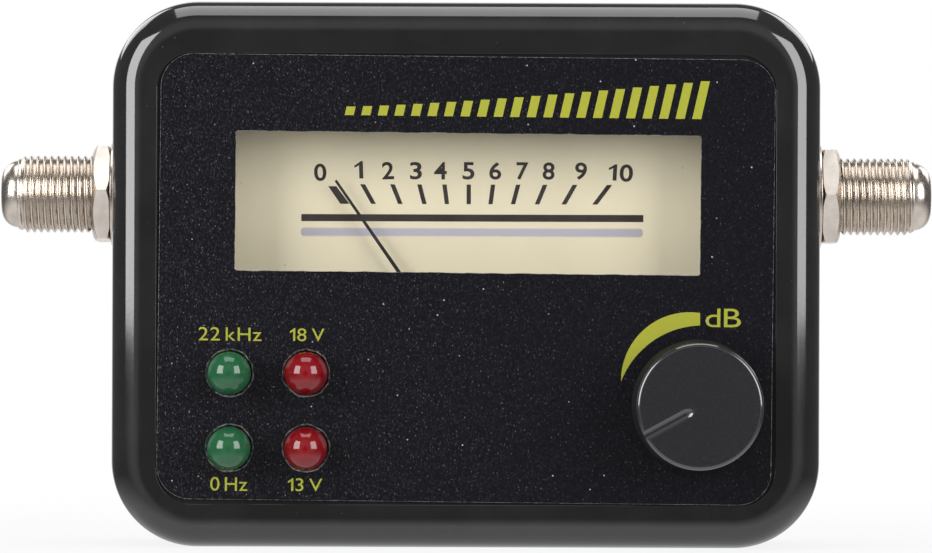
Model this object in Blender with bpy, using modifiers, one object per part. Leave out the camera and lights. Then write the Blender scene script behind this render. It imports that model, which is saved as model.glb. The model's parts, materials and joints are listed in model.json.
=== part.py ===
"""Satellite signal meter: a hand-held moving-coil meter between two threaded coaxial connectors.

The meter stands on its long lower edge and faces -Y, with +X to the right and +Z up.
Depths are measured from the front rim of the case towards the back, and heights from the base.
All lengths are in metres.
"""

import math

import bmesh
import bpy
from mathutils import Matrix, Vector

# Shared gaps and overruns
SEAT = 0.0002
RUNNING_GAP = 0.0001
OVERRUN = 0.001
BITE = 0.0004
WELD = 0.00001

# Case
CASE_WIDTH = 0.0825
CASE_HEIGHT = 0.0635
CASE_DEPTH = 0.028
CASE_CORNER = 0.010
WALL = 0.002
FRONT_ROUND = 0.0036
REAR_ROUND = 0.002
LIP_THICKNESS = 0.0008
LIP_HEIGHT = 0.0012
RIB_THICKNESS = 0.001
RIB_HEIGHT = 0.002

# Recess and front label
RIM_SIDE = 0.00545
RIM_TOP = 0.00605
RIM_BASE = 0.00505
RECESS_DEPTH = 0.0005
RECESS_CORNER = 0.0042
LABEL_SIDE_GAP = 0.0005
LABEL_EDGE_GAP = 0.00035
LABEL_THICKNESS = 0.00035
LABEL_TWIST_DEG = 0.35

# Window
WINDOW_SIDE = 0.01425
WINDOW_HEIGHT = 0.016
WINDOW_RISE = 0.0083
WINDOW_SHIFT = 0.0002
WINDOW_CORNER = 0.0003
WINDOW_MARGIN = 0.001

# Case screws and their bosses
BOSS_INSET = 0.0067
BOSS_FRONT_RADIUS = 0.003
BOSS_REAR_RADIUS = 0.004
CASE_SCREW_RADIUS = 0.00135
CASE_SCREW_LENGTH = 0.0165
CASE_HEAD_RADIUS = 0.0026
CASE_HEAD_HEIGHT = 0.0018
CASE_HEAD_SINK = 0.0035
CROSS_REACH = 0.0016
CROSS_WIDTH = 0.0008

# Lamps
LAMP_RADIUS = 0.0025
LAMP_HEIGHT = 0.0086
LAMP_FLANGE_RADIUS = 0.0029
LAMP_FLANGE_HEIGHT = 0.001
LAMP_HOLE_GAP = 0.0003
LAMP_COLUMN_SHARES = (0.455, 0.7966)
LAMP_ROW_SHARES = (0.2877, 0.6914)
LEG_THICKNESS = 0.0005
LEG_PITCH = 0.00254
LEG_TAIL = 0.0008
LEG_HOLE_RADIUS = 0.00045

# Knob
KNOB_SIDE = 0.01435
KNOB_Z = 0.01675
KNOB_PROUD = 0.010
KNOB_LIFT = 0.0004
KNOB_BASE_RADIUS = 0.00765
KNOB_TOP_RADIUS = 0.0074
KNOB_EDGE = 0.0004
KNOB_WALL = 0.0012
KNOB_HUB_RADIUS = 0.0046
KNOB_ROOF = 0.0014
POINTER_WIDTH = 0.0013
POINTER_DEPTH = 0.0005
POINTER_START = 0.0012
POINTER_DEG = -118.7
POINTER_END_SHARE = 0.49

# Potentiometer behind the knob
POT_SIZE = 0.0106
POT_CORNER = 0.0009
POT_HOUSING_DEPTH = 0.0066
POT_CAVITY_RADIUS = 0.0047
POT_CAVITY_DEPTH = 0.004
POT_PLATE = 0.0008
POT_BUSHING_RADIUS = 0.0036
POT_BUSHING_LENGTH = 0.0055
POT_LUG_SHEET = 0.0004
POT_LUG_WIDTH = 0.002
POT_TAIL = 0.0007
SHAFT_RADIUS = 0.003
SHAFT_SINK = 0.0025
SHAFT_FLAT = 0.0015
SHAFT_CHAMFER = 0.0003
SHAFT_STUB_RADIUS = 0.001
SHAFT_STUB_LENGTH = 0.0007
WIPER_RADIUS = 0.0042
WIPER_SHEET = 0.0003
WIPER_ARM_SHARE = 0.33
TRACK_INNER_RADIUS = 0.0024
TRACK_OUTER_RADIUS = 0.0043
TRACK_SHEET = 0.0003

# Meter housing
METER_MARGIN = 0.0033
METER_TOP_MARGIN = 0.0025
METER_BASE_MARGIN = 0.0051
COVER_WALL = 0.001
CUP_GAP = 0.0009
CUP_WALL = 0.0012
CUP_CORNER = 0.002
BASE_SHEET = 0.0015
LUG_RADIUS = 0.0026
LUG_DROP = 0.00175
LUG_REACH = 0.0024
POST_RADIUS = 0.0022
METER_SCREW_RADIUS = 0.0009
METER_SCREW_LENGTH = 0.0055
METER_HEAD_RADIUS = 0.0017
METER_HEAD_HEIGHT = 0.0012

# Dial
DIAL_SHEET = 0.0005
DIAL_GAP = 0.0004
DIAL_ARC_RADIUS = 0.0095
DIAL_SCREW_INSET = 0.0058
DIAL_SCREW_RISE = 0.0018
DIAL_SCREW_RADIUS = 0.0007
DIAL_HEAD_RADIUS = 0.0013
DIAL_HEAD_HEIGHT = 0.0006

# Needle
PIVOT_X = 0.0003
PIVOT_DROP = 0.0197
NEEDLE_REACH = 0.027
NEEDLE_ROOT_WIDTH = 0.0009
NEEDLE_TIP_WIDTH = 0.0004
NEEDLE_SHEET = 0.00025
NEEDLE_REST_DEG = -34.8
NEEDLE_DROP = 0.0009
HUB_RADIUS = 0.0013
HUB_THICKNESS = 0.0005
TAIL_REACH = 0.007
TAIL_WEIGHT_RADIUS = 0.0011
TAIL_WEIGHT_HEIGHT = 0.0018
ARM_REACH = 0.0042
ARM_WIDTH = 0.0006
ARM_WEIGHT_RADIUS = 0.0007
ARM_WEIGHT_HEIGHT = 0.0008
DIAL_DROP = 0.0011

# Moving coil movement
BRIDGE_DROP = 0.0005
BRIDGE_SHEET = 0.0008
BRIDGE_GAP = 0.0003
BRIDGE_STRIP = 0.0032
FOOT_REACH = 0.0022
BRIDGE_SCREW_INSET = 0.0019
BRIDGE_SCREW_RADIUS = 0.00065
BRIDGE_HEAD_RADIUS = 0.00095
BRIDGE_HEAD_HEIGHT = 0.0007
JEWEL_RADIUS = 0.001
JEWEL_SLOT = 0.0003
COIL_DROP = 0.0009
COIL_END = 0.0007
COIL_GAP = 0.0004
COIL_CORE_GAP = 0.0005
COIL_YOKE_GAP = 0.00065
COIL_SIDE = 0.00115
COIL_WIDTH = 0.002
COIL_ROUND = 0.00023
CORE_RADIUS = 0.0041
CORE_LENGTH = 0.0038
YOKE_WALL = 0.0024
EAR_REACH = 0.003
EAR_SHEET = 0.0015
EAR_STRIP = 0.004
STRAP_SHEET = 0.0006
STRAP_WIDTH = 0.0024
STRAP_CORNER = 0.0006
SPRING_SPACE = 0.0012
SPRING_HEIGHT = 0.0004
SPRING_SHEET = 0.00012
SPRING_INNER_RADIUS = 0.001
SPRING_OUTER_RADIUS = 0.0034
SPRING_TURNS = 3.5
PIVOT_RADIUS = 0.00035
COLLAR_RADIUS = 0.0008
COLLAR_HEIGHT = 0.0008

# Circuit board and what stands on it
STANDOFF_HEIGHT = 0.0039
BOARD_SHEET = 0.0016
BOARD_CUP_GAP = 0.0004
BOARD_GAP = 0.0022
BOARD_EDGE_GAP = 0.0015
BOARD_SCREW_INSET = 0.0037
BOARD_SCREW_DROP = 0.00275
BOARD_SCREW_RADIUS = 0.001
BOARD_SCREW_LENGTH = 0.0045
BOARD_HEAD_RADIUS = 0.0018
BOARD_HEAD_HEIGHT = 0.0012
STANDOFF_RADIUS = 0.0022
BUZZER_GAP = 0.001
BUZZER_DROP = 0.00245
BUZZER_RADIUS = 0.0045
BUZZER_HEIGHT = 0.0055
BUZZER_EDGE = 0.0004
BUZZER_HOLE_RADIUS = 0.0008
BUZZER_HOLE_DEPTH = 0.002
CAPACITOR_X = 0.012
CAPACITOR_DROP = 0.0081
CAPACITOR_RADIUS = 0.0025
CAPACITOR_HEIGHT = 0.007
CAPACITOR_GROOVE = 0.0003
CAPACITOR_GROOVE_RISE = 0.0012
CHIP_LENGTH = 0.0087
CHIP_WIDTH = 0.0039
CHIP_HEIGHT = 0.0015
CHIP_LEG_LENGTH = 0.001
CHIP_LEG_WIDTH = 0.0004
CHIP_LEG_PITCH = 0.00127
CHIP_LEG_RISE = 0.0005

# Shield can between the connectors
CAN_HEIGHT = 0.012
CAN_SHEET = 0.0004
CAN_FRONT_GAP = 0.0006
LID_SHEET = 0.0003
LID_SKIRT = 0.0018
CAN_HOLE_RADIUS = 0.0016

# Coaxial connectors
PORT_RISE = 0.0094
PORT_LEAD = 0.00045
PORT_REACH = 0.0136
PORT_THREAD_RADIUS = 0.004675
PORT_TIP_RADIUS = 0.00395
PORT_TIP_LENGTH = 0.002
PORT_TIP_ROUND = 0.0004
PORT_CHAMFER = 0.0004
PORT_BORE_RADIUS = 0.0029
PORT_FLANGE_RADIUS = 0.006
PORT_FLANGE_SHEET = 0.0015
PORT_HOLE_GAP = 0.00015
PORT_WASHER_SHEET = 0.0005
PORT_WASHER_RADIUS = 0.0061
PORT_NUT_ACROSS = 0.0109
PORT_NUT_HEIGHT = 0.0021
PORT_NUT_CHAMFER = 0.00035
PORT_NUT_TURN_DEG = 3.0
INSULATOR_SINK = 0.0003
CONTACT_RADIUS = 0.0005
CONTACT_SINK = 0.0015
CONTACT_TAIL = 0.003

# Wires from the meter to the board
WIRE_RADIUS = 0.0005
WIRE_GAP = 0.0027
WIRE_PITCH = 0.0026
WIRE_DROP = 0.00275
WIRE_RISE = 0.0025
WIRE_SWAY = 0.001

# Facets
CASE_CORNER_STEPS = 6
CASE_ROUND_STEPS = 4
INNER_CORNER_STEPS = 4
SMALL_CORNER_STEPS = 3
BIG_STEPS = 36
ROUND_STEPS = 24
HOLE_STEPS = 16
SMALL_STEPS = 10
LEG_STEPS = 8
DOME_STEPS = 4
SPRING_POINTS_PER_TURN = 11
WIRE_POINTS = 9
SHARP_DEG = 35.0

# Places that follow from the sizes above
FRONT_Y = (KNOB_PROUD - CASE_DEPTH) / 2
HALF_WIDTH = CASE_WIDTH / 2
CENTRE_Z = CASE_HEIGHT / 2
FACE_BACK = RECESS_DEPTH + WALL
REAR_INSIDE = CASE_DEPTH - WALL
BOARD_BACK = REAR_INSIDE - STANDOFF_HEIGHT - SEAT
BOARD_FRONT = BOARD_BACK - BOARD_SHEET

RECESS_WIDTH = CASE_WIDTH - 2 * RIM_SIDE
RECESS_HEIGHT = CASE_HEIGHT - RIM_TOP - RIM_BASE
RECESS_Z = RIM_BASE + RECESS_HEIGHT / 2
LABEL_LOW = RIM_BASE + LABEL_EDGE_GAP
WINDOW_WIDTH = CASE_WIDTH - 2 * WINDOW_SIDE
WINDOW_Z = CENTRE_Z + WINDOW_RISE
PIVOT_Z = WINDOW_Z - PIVOT_DROP
PORT_Z = CENTRE_Z + PORT_RISE
KNOB_X = HALF_WIDTH - KNOB_SIDE

COVER_FRONT = FACE_BACK + SEAT
PANE_BACK = COVER_FRONT + COVER_WALL
BRIDGE_FRONT = PANE_BACK + BRIDGE_DROP
NEEDLE_FRONT = BRIDGE_FRONT + BRIDGE_SHEET + NEEDLE_DROP
DIAL_FRONT = NEEDLE_FRONT + HUB_THICKNESS + DIAL_DROP
BASE_FRONT = DIAL_FRONT + DIAL_SHEET + SEAT
BASE_BACK = BASE_FRONT + BASE_SHEET
COIL_FRONT = BASE_FRONT + COIL_DROP
CORE_FRONT = COIL_FRONT + COIL_END + COIL_GAP
CORE_BACK = CORE_FRONT + CORE_LENGTH
STRAP_FRONT = CORE_BACK + SEAT
COIL_BACK = STRAP_FRONT + STRAP_SHEET + COIL_GAP + COIL_END
REAR_BRIDGE_FRONT = COIL_BACK + SPRING_SPACE
CUP_FLOOR = REAR_BRIDGE_FRONT + BRIDGE_SHEET + SEAT
CUP_BACK = CUP_FLOOR + CUP_WALL

METER_LEFT = WINDOW_SHIFT - WINDOW_WIDTH / 2 - METER_MARGIN
METER_RIGHT = WINDOW_SHIFT + WINDOW_WIDTH / 2 + METER_MARGIN
METER_TOP = WINDOW_Z + WINDOW_HEIGHT / 2 + METER_TOP_MARGIN
METER_LOW = WINDOW_Z - WINDOW_HEIGHT / 2 - METER_BASE_MARGIN
COIL_INNER_HALF = CORE_RADIUS + COIL_CORE_GAP
YOKE_INNER_RADIUS = COIL_INNER_HALF + COIL_SIDE + COIL_YOKE_GAP
YOKE_OUTER_RADIUS = YOKE_INNER_RADIUS + YOKE_WALL
EAR_HALF_WIDTH = YOKE_OUTER_RADIUS + EAR_REACH
BRIDGE_HALF_WIDTH = EAR_HALF_WIDTH + SEAT
BRIDGE_SCREW_X = BRIDGE_HALF_WIDTH - BRIDGE_SCREW_INSET
CUP_HALF_WIDTH = BRIDGE_HALF_WIDTH + BRIDGE_GAP + CUP_WALL
CUP_HALF_HEIGHT = YOKE_OUTER_RADIUS + CUP_GAP + CUP_WALL
CUP_LOW = PIVOT_Z - CUP_HALF_HEIGHT
CUP_LEFT = PIVOT_X - CUP_HALF_WIDTH
CUP_RIGHT = PIVOT_X + CUP_HALF_WIDTH

LAMP_BASE = FACE_BACK + SEAT + LAMP_FLANGE_HEIGHT
POT_BACK = BOARD_FRONT - SEAT
POT_FRONT = POT_BACK - POT_HOUSING_DEPTH
PLATE_BACK = POT_FRONT - SEAT
PLATE_FRONT = PLATE_BACK - POT_PLATE
SHAFT_BACK = POT_FRONT + SHAFT_SINK
BOARD_HALF_WIDTH = HALF_WIDTH - WALL - BOARD_GAP
CAN_HALF_LENGTH = HALF_WIDTH - WALL - PORT_FLANGE_SHEET - 2 * SEAT
CAN_FRONT = BASE_BACK + CAN_FRONT_GAP + LID_SHEET + SEAT
CAN_BACK = BOARD_FRONT - SEAT
SPLIT_DEPTH = (CAN_FRONT + CAN_BACK) / 2 - PORT_LEAD
SQUARE = math.pi / 2

FACING_FRONT = (SQUARE, 0, 0)
FACING_REAR = (-SQUARE, 0, 0)
FACING_RIGHT = (0, SQUARE, 0)
FACING_LEFT = (0, -SQUARE, 0)

BOSS_PLACES = [
    (side * (HALF_WIDTH - BOSS_INSET), z)
    for z in (BOSS_INSET, CASE_HEIGHT - BOSS_INSET)
    for side in (-1, 1)
]
LAMP_COLUMNS = [
    share * CUP_LEFT - (1 - share) * (HALF_WIDTH - WALL) for share in LAMP_COLUMN_SHARES
]
LAMP_ROWS = [share * METER_LOW + (1 - share) * LABEL_LOW for share in LAMP_ROW_SHARES]
LAMP_PLACES = {
    f"led_{colour}_{level}": (x, z)
    for level, z in zip(("lower", "upper"), LAMP_ROWS)
    for colour, x in zip(("green", "red"), LAMP_COLUMNS)
}
LUG_PLACES = [(x, CENTRE_Z - LUG_DROP) for x in (METER_LEFT - LUG_REACH, METER_RIGHT + LUG_REACH)]
BOARD_SCREW_PLACES = [
    (side * (BOARD_HALF_WIDTH - BOARD_SCREW_INSET), CENTRE_Z - BOARD_SCREW_DROP) for side in (-1, 1)
]
DIAL_SCREW_PLACES = [
    (x, METER_LOW + COVER_WALL + DIAL_GAP + DIAL_SCREW_RISE)
    for x in (METER_LEFT + DIAL_SCREW_INSET, METER_RIGHT - DIAL_SCREW_INSET)
]
SIDES = {"left": -1, "right": 1}


# Scene and collections
for old_object in list(bpy.data.objects):
    bpy.data.objects.remove(old_object, do_unlink=True)

PARTS = bpy.data.collections.new("satellite_signal_meter")
CUTTERS = bpy.data.collections.new("cutters")
bpy.context.scene.collection.children.link(PARTS)
bpy.context.scene.collection.children.link(CUTTERS)


# Materials
def paint(name, colour, roughness, metallic=0.0, alpha=1.0):
    """Make a plain Principled material."""
    material = bpy.data.materials.new(name)
    material.use_nodes = True
    shader = material.node_tree.nodes["Principled BSDF"]
    shader.inputs["Base Color"].default_value = (*colour, 1.0)
    shader.inputs["Roughness"].default_value = roughness
    shader.inputs["Metallic"].default_value = metallic
    shader.inputs["Alpha"].default_value = alpha
    return material


BLACK_PLASTIC = paint("black_plastic", (0.022, 0.022, 0.024), 0.35)
KNOB_PLASTIC = paint("knob_plastic", (0.030, 0.030, 0.032), 0.45)
LABEL_PLASTIC = paint("label_plastic", (0.014, 0.013, 0.019), 0.5)
CLEAR_PLASTIC = paint("clear_plastic", (0.9, 0.9, 0.9), 0.05, 0.0, 0.2)
BASE_PLASTIC = paint("base_plastic", (0.05, 0.05, 0.05), 0.5)
DIAL_PAINT = paint("dial_paint", (0.71, 0.64, 0.47), 0.6)
NEEDLE_PAINT = paint("needle_paint", (0.03, 0.022, 0.02), 0.4)
GREEN_LENS = paint("green_lens", (0.024, 0.112, 0.052), 0.1)
RED_LENS = paint("red_lens", (0.216, 0.025, 0.031), 0.1)
NICKEL = paint("nickel", (0.62, 0.56, 0.49), 0.25, 1.0)
STEEL = paint("steel", (0.56, 0.56, 0.56), 0.35, 1.0)
TINPLATE = paint("tinplate", (0.62, 0.62, 0.60), 0.4, 1.0)
BRASS = paint("brass", (0.66, 0.50, 0.22), 0.35, 1.0)
COPPER = paint("copper", (0.62, 0.28, 0.14), 0.4, 1.0)
MAGNET = paint("magnet_alloy", (0.28, 0.28, 0.29), 0.5, 1.0)
BOARD_GREEN = paint("board_green", (0.02, 0.16, 0.06), 0.4)
WHITE_PLASTIC = paint("white_plastic", (0.8, 0.78, 0.72), 0.5)
CARBON = paint("carbon_track", (0.02, 0.02, 0.02), 0.7)
RED_WIRE = paint("red_wire", (0.4, 0.02, 0.02), 0.5)
BLACK_WIRE = paint("black_wire", (0.02, 0.02, 0.02), 0.5)


# Building helpers
def at(x, depth, z):
    """Give the world place of a point at a depth behind the front rim."""
    return Vector((x, FRONT_Y + depth, z))


def link(obj, colour, place, turn=(0, 0, 0), parent=None):
    """Paint and place an object; one without a colour is a cutter."""
    if colour is None:
        CUTTERS.objects.link(obj)
        obj.hide_render = True
        obj.display_type = "WIRE"
    else:
        PARTS.objects.link(obj)
        obj.data.materials.append(colour)
    obj.location = place
    obj.rotation_euler = turn
    obj.parent = parent
    return obj


def from_bmesh(name, bm, colour, place, turn=(0, 0, 0), parent=None):
    """Turn a bmesh into a named object with smooth sides and sharp corners."""
    mesh = bpy.data.meshes.new(name)
    bmesh.ops.recalc_face_normals(bm, faces=bm.faces)
    bm.to_mesh(mesh)
    bm.free()
    mesh.shade_smooth()
    mesh.set_sharp_from_angle(angle=math.radians(SHARP_DEG))
    return link(bpy.data.objects.new(name, mesh), colour, place, turn, parent)


def round_edges(bm, radius, steps, wanted):
    """Round the edges that the test picks out."""
    edges = [edge for edge in bm.edges if wanted(edge.verts[0].co, edge.verts[1].co)]
    bmesh.ops.bevel(
        bm, geom=edges, offset=radius, segments=steps, profile=0.5, affect="EDGES", clamp_overlap=False
    )


def slab(width, height, depth, corner=0.0, corner_steps=SMALL_CORNER_STEPS, front=0.0, rear=0.0, steps=2):
    """Make an upright slab whose front face is centred on its origin and whose body runs back."""
    bm = bmesh.new()
    bmesh.ops.create_cube(bm, size=1)
    bmesh.ops.translate(bm, vec=(0, 0.5, 0), verts=bm.verts)
    bmesh.ops.scale(bm, vec=(width, depth, height), verts=bm.verts)
    if corner:
        round_edges(bm, corner, corner_steps, lambda a, b: abs(a.y - b.y) > depth / 2)
    if front:
        round_edges(bm, front, steps, lambda a, b: max(a.y, b.y) < WELD)
    if rear:
        round_edges(bm, rear, steps, lambda a, b: min(a.y, b.y) > depth - WELD)
    return bm


def rods(places, radius, start, end, steps=HOLE_STEPS, bm=None):
    """Make a set of separate cylinders that run from front to back, or add them to a set."""
    bm = bm or bmesh.new()
    lie_down = Matrix.Rotation(SQUARE, 4, "X") @ Matrix.Rotation(SQUARE / steps, 4, "Z")
    for x, z in places:
        middle = Matrix.Translation((x, (start + end) / 2, z))
        bmesh.ops.create_cone(
            bm, cap_ends=True, segments=steps, radius1=radius, radius2=radius,
            depth=end - start, matrix=middle @ lie_down,
        )
    return bm


def boxes(corners):
    """Make a set of separate boxes, each from its lowest and highest corner."""
    bm = bmesh.new()
    for low, high in corners:
        size = Vector(high) - Vector(low)
        middle = (Vector(high) + Vector(low)) / 2
        bmesh.ops.create_cube(bm, size=1, matrix=Matrix.Translation(middle) @ Matrix.Diagonal((*size, 1)))
    return bm


def boolean(target, tool, operation="DIFFERENCE"):
    """Cut a tool from a piece, or join it on."""
    modifier = target.modifiers.new(tool.name, "BOOLEAN")
    modifier.operation = operation
    modifier.object = tool
    modifier.solver = "EXACT"
    return target


def cut(target, name, bm, place, turn=(0, 0, 0), parent=None):
    """Cut a shape out of a piece."""
    return boolean(target, from_bmesh(f"{target.name}_{name}", bm, None, place, turn, parent))


def join(target, name, bm, place, turn=(0, 0, 0), parent=None):
    """Join a shape to a piece."""
    tool = from_bmesh(f"{target.name}_{name}", bm, None, place, turn, parent)
    return boolean(target, tool, "UNION")


def turned(name, profile, colour, place, turn=FACING_FRONT, steps=ROUND_STEPS, ring=False, parent=None):
    """Turn a profile of radius and height round its axis; it runs down the outer side."""
    mesh = bpy.data.meshes.new(name)
    edges = [(i, i + 1) for i in range(len(profile) - 1)]
    if ring:
        edges.append((len(profile) - 1, 0))
    mesh.from_pydata([(radius, 0, height) for radius, height in profile], edges, [])
    obj = link(bpy.data.objects.new(name, mesh), colour, place, turn, parent)
    screw = obj.modifiers.new("Turn", "SCREW")
    screw.steps = steps
    screw.render_steps = steps
    screw.use_merge_vertices = True
    screw.merge_threshold = WELD
    return obj


def ring_profile(inner, outer, low, high):
    """Give the closed outline of a plain ring."""
    return [(inner, high), (outer, high), (outer, low), (inner, low)]


def arc(radius, height, bend, start_deg, end_deg, steps):
    """Give the points of an arc in a profile."""
    angles = [math.radians(start_deg + (end_deg - start_deg) * i / steps) for i in range(steps + 1)]
    return [(radius + bend * math.cos(a), height + bend * math.sin(a)) for a in angles]


def strip(name, path, width, sheet, colour, place, turn=(0, 0, 0)):
    """Bend a strip of sheet along a path in its own XY plane, its width along Z."""
    bm = bmesh.new()
    rows = [[bm.verts.new((x, y, side * width / 2)) for x, y in path] for side in (-1, 1)]
    for i in range(len(path) - 1):
        bm.faces.new((rows[0][i], rows[0][i + 1], rows[1][i + 1], rows[1][i]))
    obj = from_bmesh(name, bm, colour, place, turn)
    solid = obj.modifiers.new("Sheet", "SOLIDIFY")
    solid.thickness = sheet
    solid.offset = 0.0
    solid.use_even_offset = True
    return obj


def screw_profile(shank, length, head, height):
    """Give the outline of a screw with its head on top, measured from under the head."""
    chamfer = shank / 2
    return [
        (0, height), (head - chamfer / 2, height), (head, height - chamfer / 2), (head, 0),
        (shank, 0), (shank, chamfer - length), (shank - chamfer, -length), (0, -length),
    ]


# Case shells
def case_block(front_depth, back_depth, inset, front, rear, corner_steps, steps):
    """Make a block with the outline of the case, or of its hollow when it is inset."""
    return slab(
        CASE_WIDTH - 2 * inset, CASE_HEIGHT - 2 * inset, back_depth - front_depth,
        CASE_CORNER - inset, corner_steps, front, rear, steps,
    )


def port_notch(shell):
    """Cut the two half-round notches that clamp the connectors."""
    hole = PORT_THREAD_RADIUS + PORT_HOLE_GAP
    bm = bmesh.new()
    for side in SIDES.values():
        place = Matrix.Translation((side * (HALF_WIDTH - WALL / 2), 0, 0))
        across = Matrix.Rotation(SQUARE, 4, "Y")
        bmesh.ops.create_cone(
            bm, cap_ends=True, segments=ROUND_STEPS, radius1=hole, radius2=hole,
            depth=WALL + 2 * OVERRUN, matrix=place @ across,
        )
    cut(shell, "ports", bm, at(0, SPLIT_DEPTH, PORT_Z))


def front_shell():
    """Make the front shell: recessed face, window, holes, bosses, posts and rabbet."""
    bm = case_block(0, SPLIT_DEPTH, 0, FRONT_ROUND, 0, CASE_CORNER_STEPS, CASE_ROUND_STEPS)
    shell = from_bmesh("front_shell", bm, BLACK_PLASTIC, at(0, 0, CENTRE_Z))
    back = SPLIT_DEPTH + OVERRUN

    hollow = case_block(FACE_BACK, back, WALL, FRONT_ROUND - WALL, 0, INNER_CORNER_STEPS, 2)
    cut(shell, "hollow", hollow, at(0, FACE_BACK, CENTRE_Z))
    rabbet_front = SPLIT_DEPTH - LIP_HEIGHT - SEAT
    rabbet = case_block(rabbet_front, back, WALL - LIP_THICKNESS - SEAT, 0, 0, INNER_CORNER_STEPS, 1)
    cut(shell, "rabbet", rabbet, at(0, rabbet_front, CENTRE_Z))

    recess = slab(RECESS_WIDTH, RECESS_HEIGHT, RECESS_DEPTH + OVERRUN, RECESS_CORNER, INNER_CORNER_STEPS)
    cut(shell, "recess", recess, at(0, -OVERRUN, RECESS_Z))
    window = slab(
        WINDOW_WIDTH + 2 * WINDOW_MARGIN, WINDOW_HEIGHT + 2 * WINDOW_MARGIN, WALL + 2 * OVERRUN, WINDOW_MARGIN
    )
    cut(shell, "window", window, at(WINDOW_SHIFT, RECESS_DEPTH - OVERRUN, WINDOW_Z))

    join(shell, "bosses", rods(BOSS_PLACES, BOSS_FRONT_RADIUS, FACE_BACK - BITE, SPLIT_DEPTH), at(0, 0, 0))
    join(shell, "posts", rods(LUG_PLACES, POST_RADIUS, FACE_BACK - BITE, BASE_FRONT - SEAT), at(0, 0, 0))
    join(shell, "ribs", cover_ribs(), at(0, 0, 0))

    cut(shell, "face_holes", face_holes(RECESS_DEPTH, FACE_BACK), at(0, 0, 0))
    pilot_start = REAR_INSIDE + WALL - CASE_HEAD_SINK - CASE_SCREW_LENGTH - OVERRUN
    pilots = rods(BOSS_PLACES, CASE_SCREW_RADIUS + RUNNING_GAP, pilot_start, back, SMALL_STEPS)
    cut(shell, "pilots", pilots, at(0, 0, 0))
    hole = METER_SCREW_RADIUS + RUNNING_GAP
    post_pilots = rods(LUG_PLACES, hole, FACE_BACK, BASE_FRONT + OVERRUN, SMALL_STEPS)
    cut(shell, "post_pilots", post_pilots, at(0, 0, 0))
    port_notch(shell)


def face_holes(front, back):
    """Make the cutter for the lamps' holes and the shaft's hole through a sheet."""
    lamp_hole = LAMP_RADIUS + LAMP_HOLE_GAP
    shaft_hole = POT_BUSHING_RADIUS + SEAT
    holes = rods(LAMP_PLACES.values(), lamp_hole, front - OVERRUN, back + OVERRUN)
    return rods([(KNOB_X, KNOB_Z)], shaft_hole, front - OVERRUN, back + OVERRUN, bm=holes)


def cover_ribs():
    """Make the two upright ribs that locate the meter cover from its sides."""
    front = FACE_BACK - BITE
    back = BASE_FRONT - SEAT
    low = WINDOW_Z - WINDOW_HEIGHT / 4
    high = WINDOW_Z + WINDOW_HEIGHT / 2
    left = METER_LEFT - SEAT
    right = METER_RIGHT + SEAT
    return boxes([
        ((left - RIB_THICKNESS, front, low), (left, back, high)),
        ((right, front, low), (right + RIB_THICKNESS, back, high)),
    ])


def rear_shell():
    """Make the rear shell: tongue, screw bosses, board standoffs and ribs."""
    front = SPLIT_DEPTH + SEAT
    bm = case_block(front, CASE_DEPTH, 0, 0, REAR_ROUND, CASE_CORNER_STEPS, 3)
    shell = from_bmesh("rear_shell", bm, BLACK_PLASTIC, at(0, front, CENTRE_Z))

    tongue_front = SPLIT_DEPTH - LIP_HEIGHT
    tongue = case_block(tongue_front, front + BITE, WALL - LIP_THICKNESS, 0, 0, CASE_CORNER_STEPS, 1)
    join(shell, "tongue", tongue, at(0, tongue_front, CENTRE_Z))
    hollow_front = tongue_front - OVERRUN
    hollow = case_block(hollow_front, REAR_INSIDE, WALL, 0, 0, INNER_CORNER_STEPS, 1)
    cut(shell, "hollow", hollow, at(0, hollow_front, CENTRE_Z))

    join(shell, "bosses", rods(BOSS_PLACES, BOSS_REAR_RADIUS, front, REAR_INSIDE + BITE), at(0, 0, 0))
    standoffs = rods(BOARD_SCREW_PLACES, STANDOFF_RADIUS, BOARD_BACK + SEAT, REAR_INSIDE + BITE)
    join(shell, "standoffs", standoffs, at(0, 0, 0))
    low = WALL + CASE_CORNER / 2
    ribs = boxes([
        (
            (side * HALF_WIDTH / 2 - RIB_THICKNESS / 2, REAR_INSIDE - RIB_HEIGHT, low),
            (side * HALF_WIDTH / 2 + RIB_THICKNESS / 2, REAR_INSIDE + BITE, CASE_HEIGHT - low),
        )
        for side in (-1, 1)
    ])
    join(shell, "ribs", ribs, at(0, 0, 0))

    seat = CASE_DEPTH - CASE_HEAD_SINK
    sinks = rods(BOSS_PLACES, CASE_HEAD_RADIUS + SEAT, seat, CASE_DEPTH + OVERRUN)
    cut(shell, "sinks", sinks, at(0, 0, 0))
    holes = rods(BOSS_PLACES, CASE_SCREW_RADIUS + SEAT, front - OVERRUN, seat + OVERRUN, SMALL_STEPS)
    cut(shell, "screw_holes", holes, at(0, 0, 0))
    pilots = rods(
        BOARD_SCREW_PLACES, BOARD_SCREW_RADIUS + RUNNING_GAP, BOARD_BACK,
        BOARD_FRONT + BOARD_SCREW_LENGTH + SEAT, SMALL_STEPS,
    )
    cut(shell, "board_pilots", pilots, at(0, 0, 0))
    port_notch(shell)


def case_screws():
    """Make the four case screws, driven in from the back."""
    profile = screw_profile(CASE_SCREW_RADIUS, CASE_SCREW_LENGTH, CASE_HEAD_RADIUS, CASE_HEAD_HEIGHT)
    for number, (x, z) in enumerate(BOSS_PLACES, 1):
        place = at(x, CASE_DEPTH - CASE_HEAD_SINK + SEAT, z)
        screw = turned(f"case_screw_{number}", profile, STEEL, place, FACING_REAR, SMALL_STEPS)
        half = CROSS_REACH
        slot = CROSS_WIDTH / 2
        floor = CASE_HEAD_HEIGHT / 2
        top = CASE_HEAD_HEIGHT + OVERRUN
        cut(screw, "slot", boxes([((-half, -slot, floor), (half, slot, top))]), place, FACING_REAR)
        cut(screw, "cross", boxes([((-slot, -half, floor), (slot, half, top))]), place, FACING_REAR)


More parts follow.
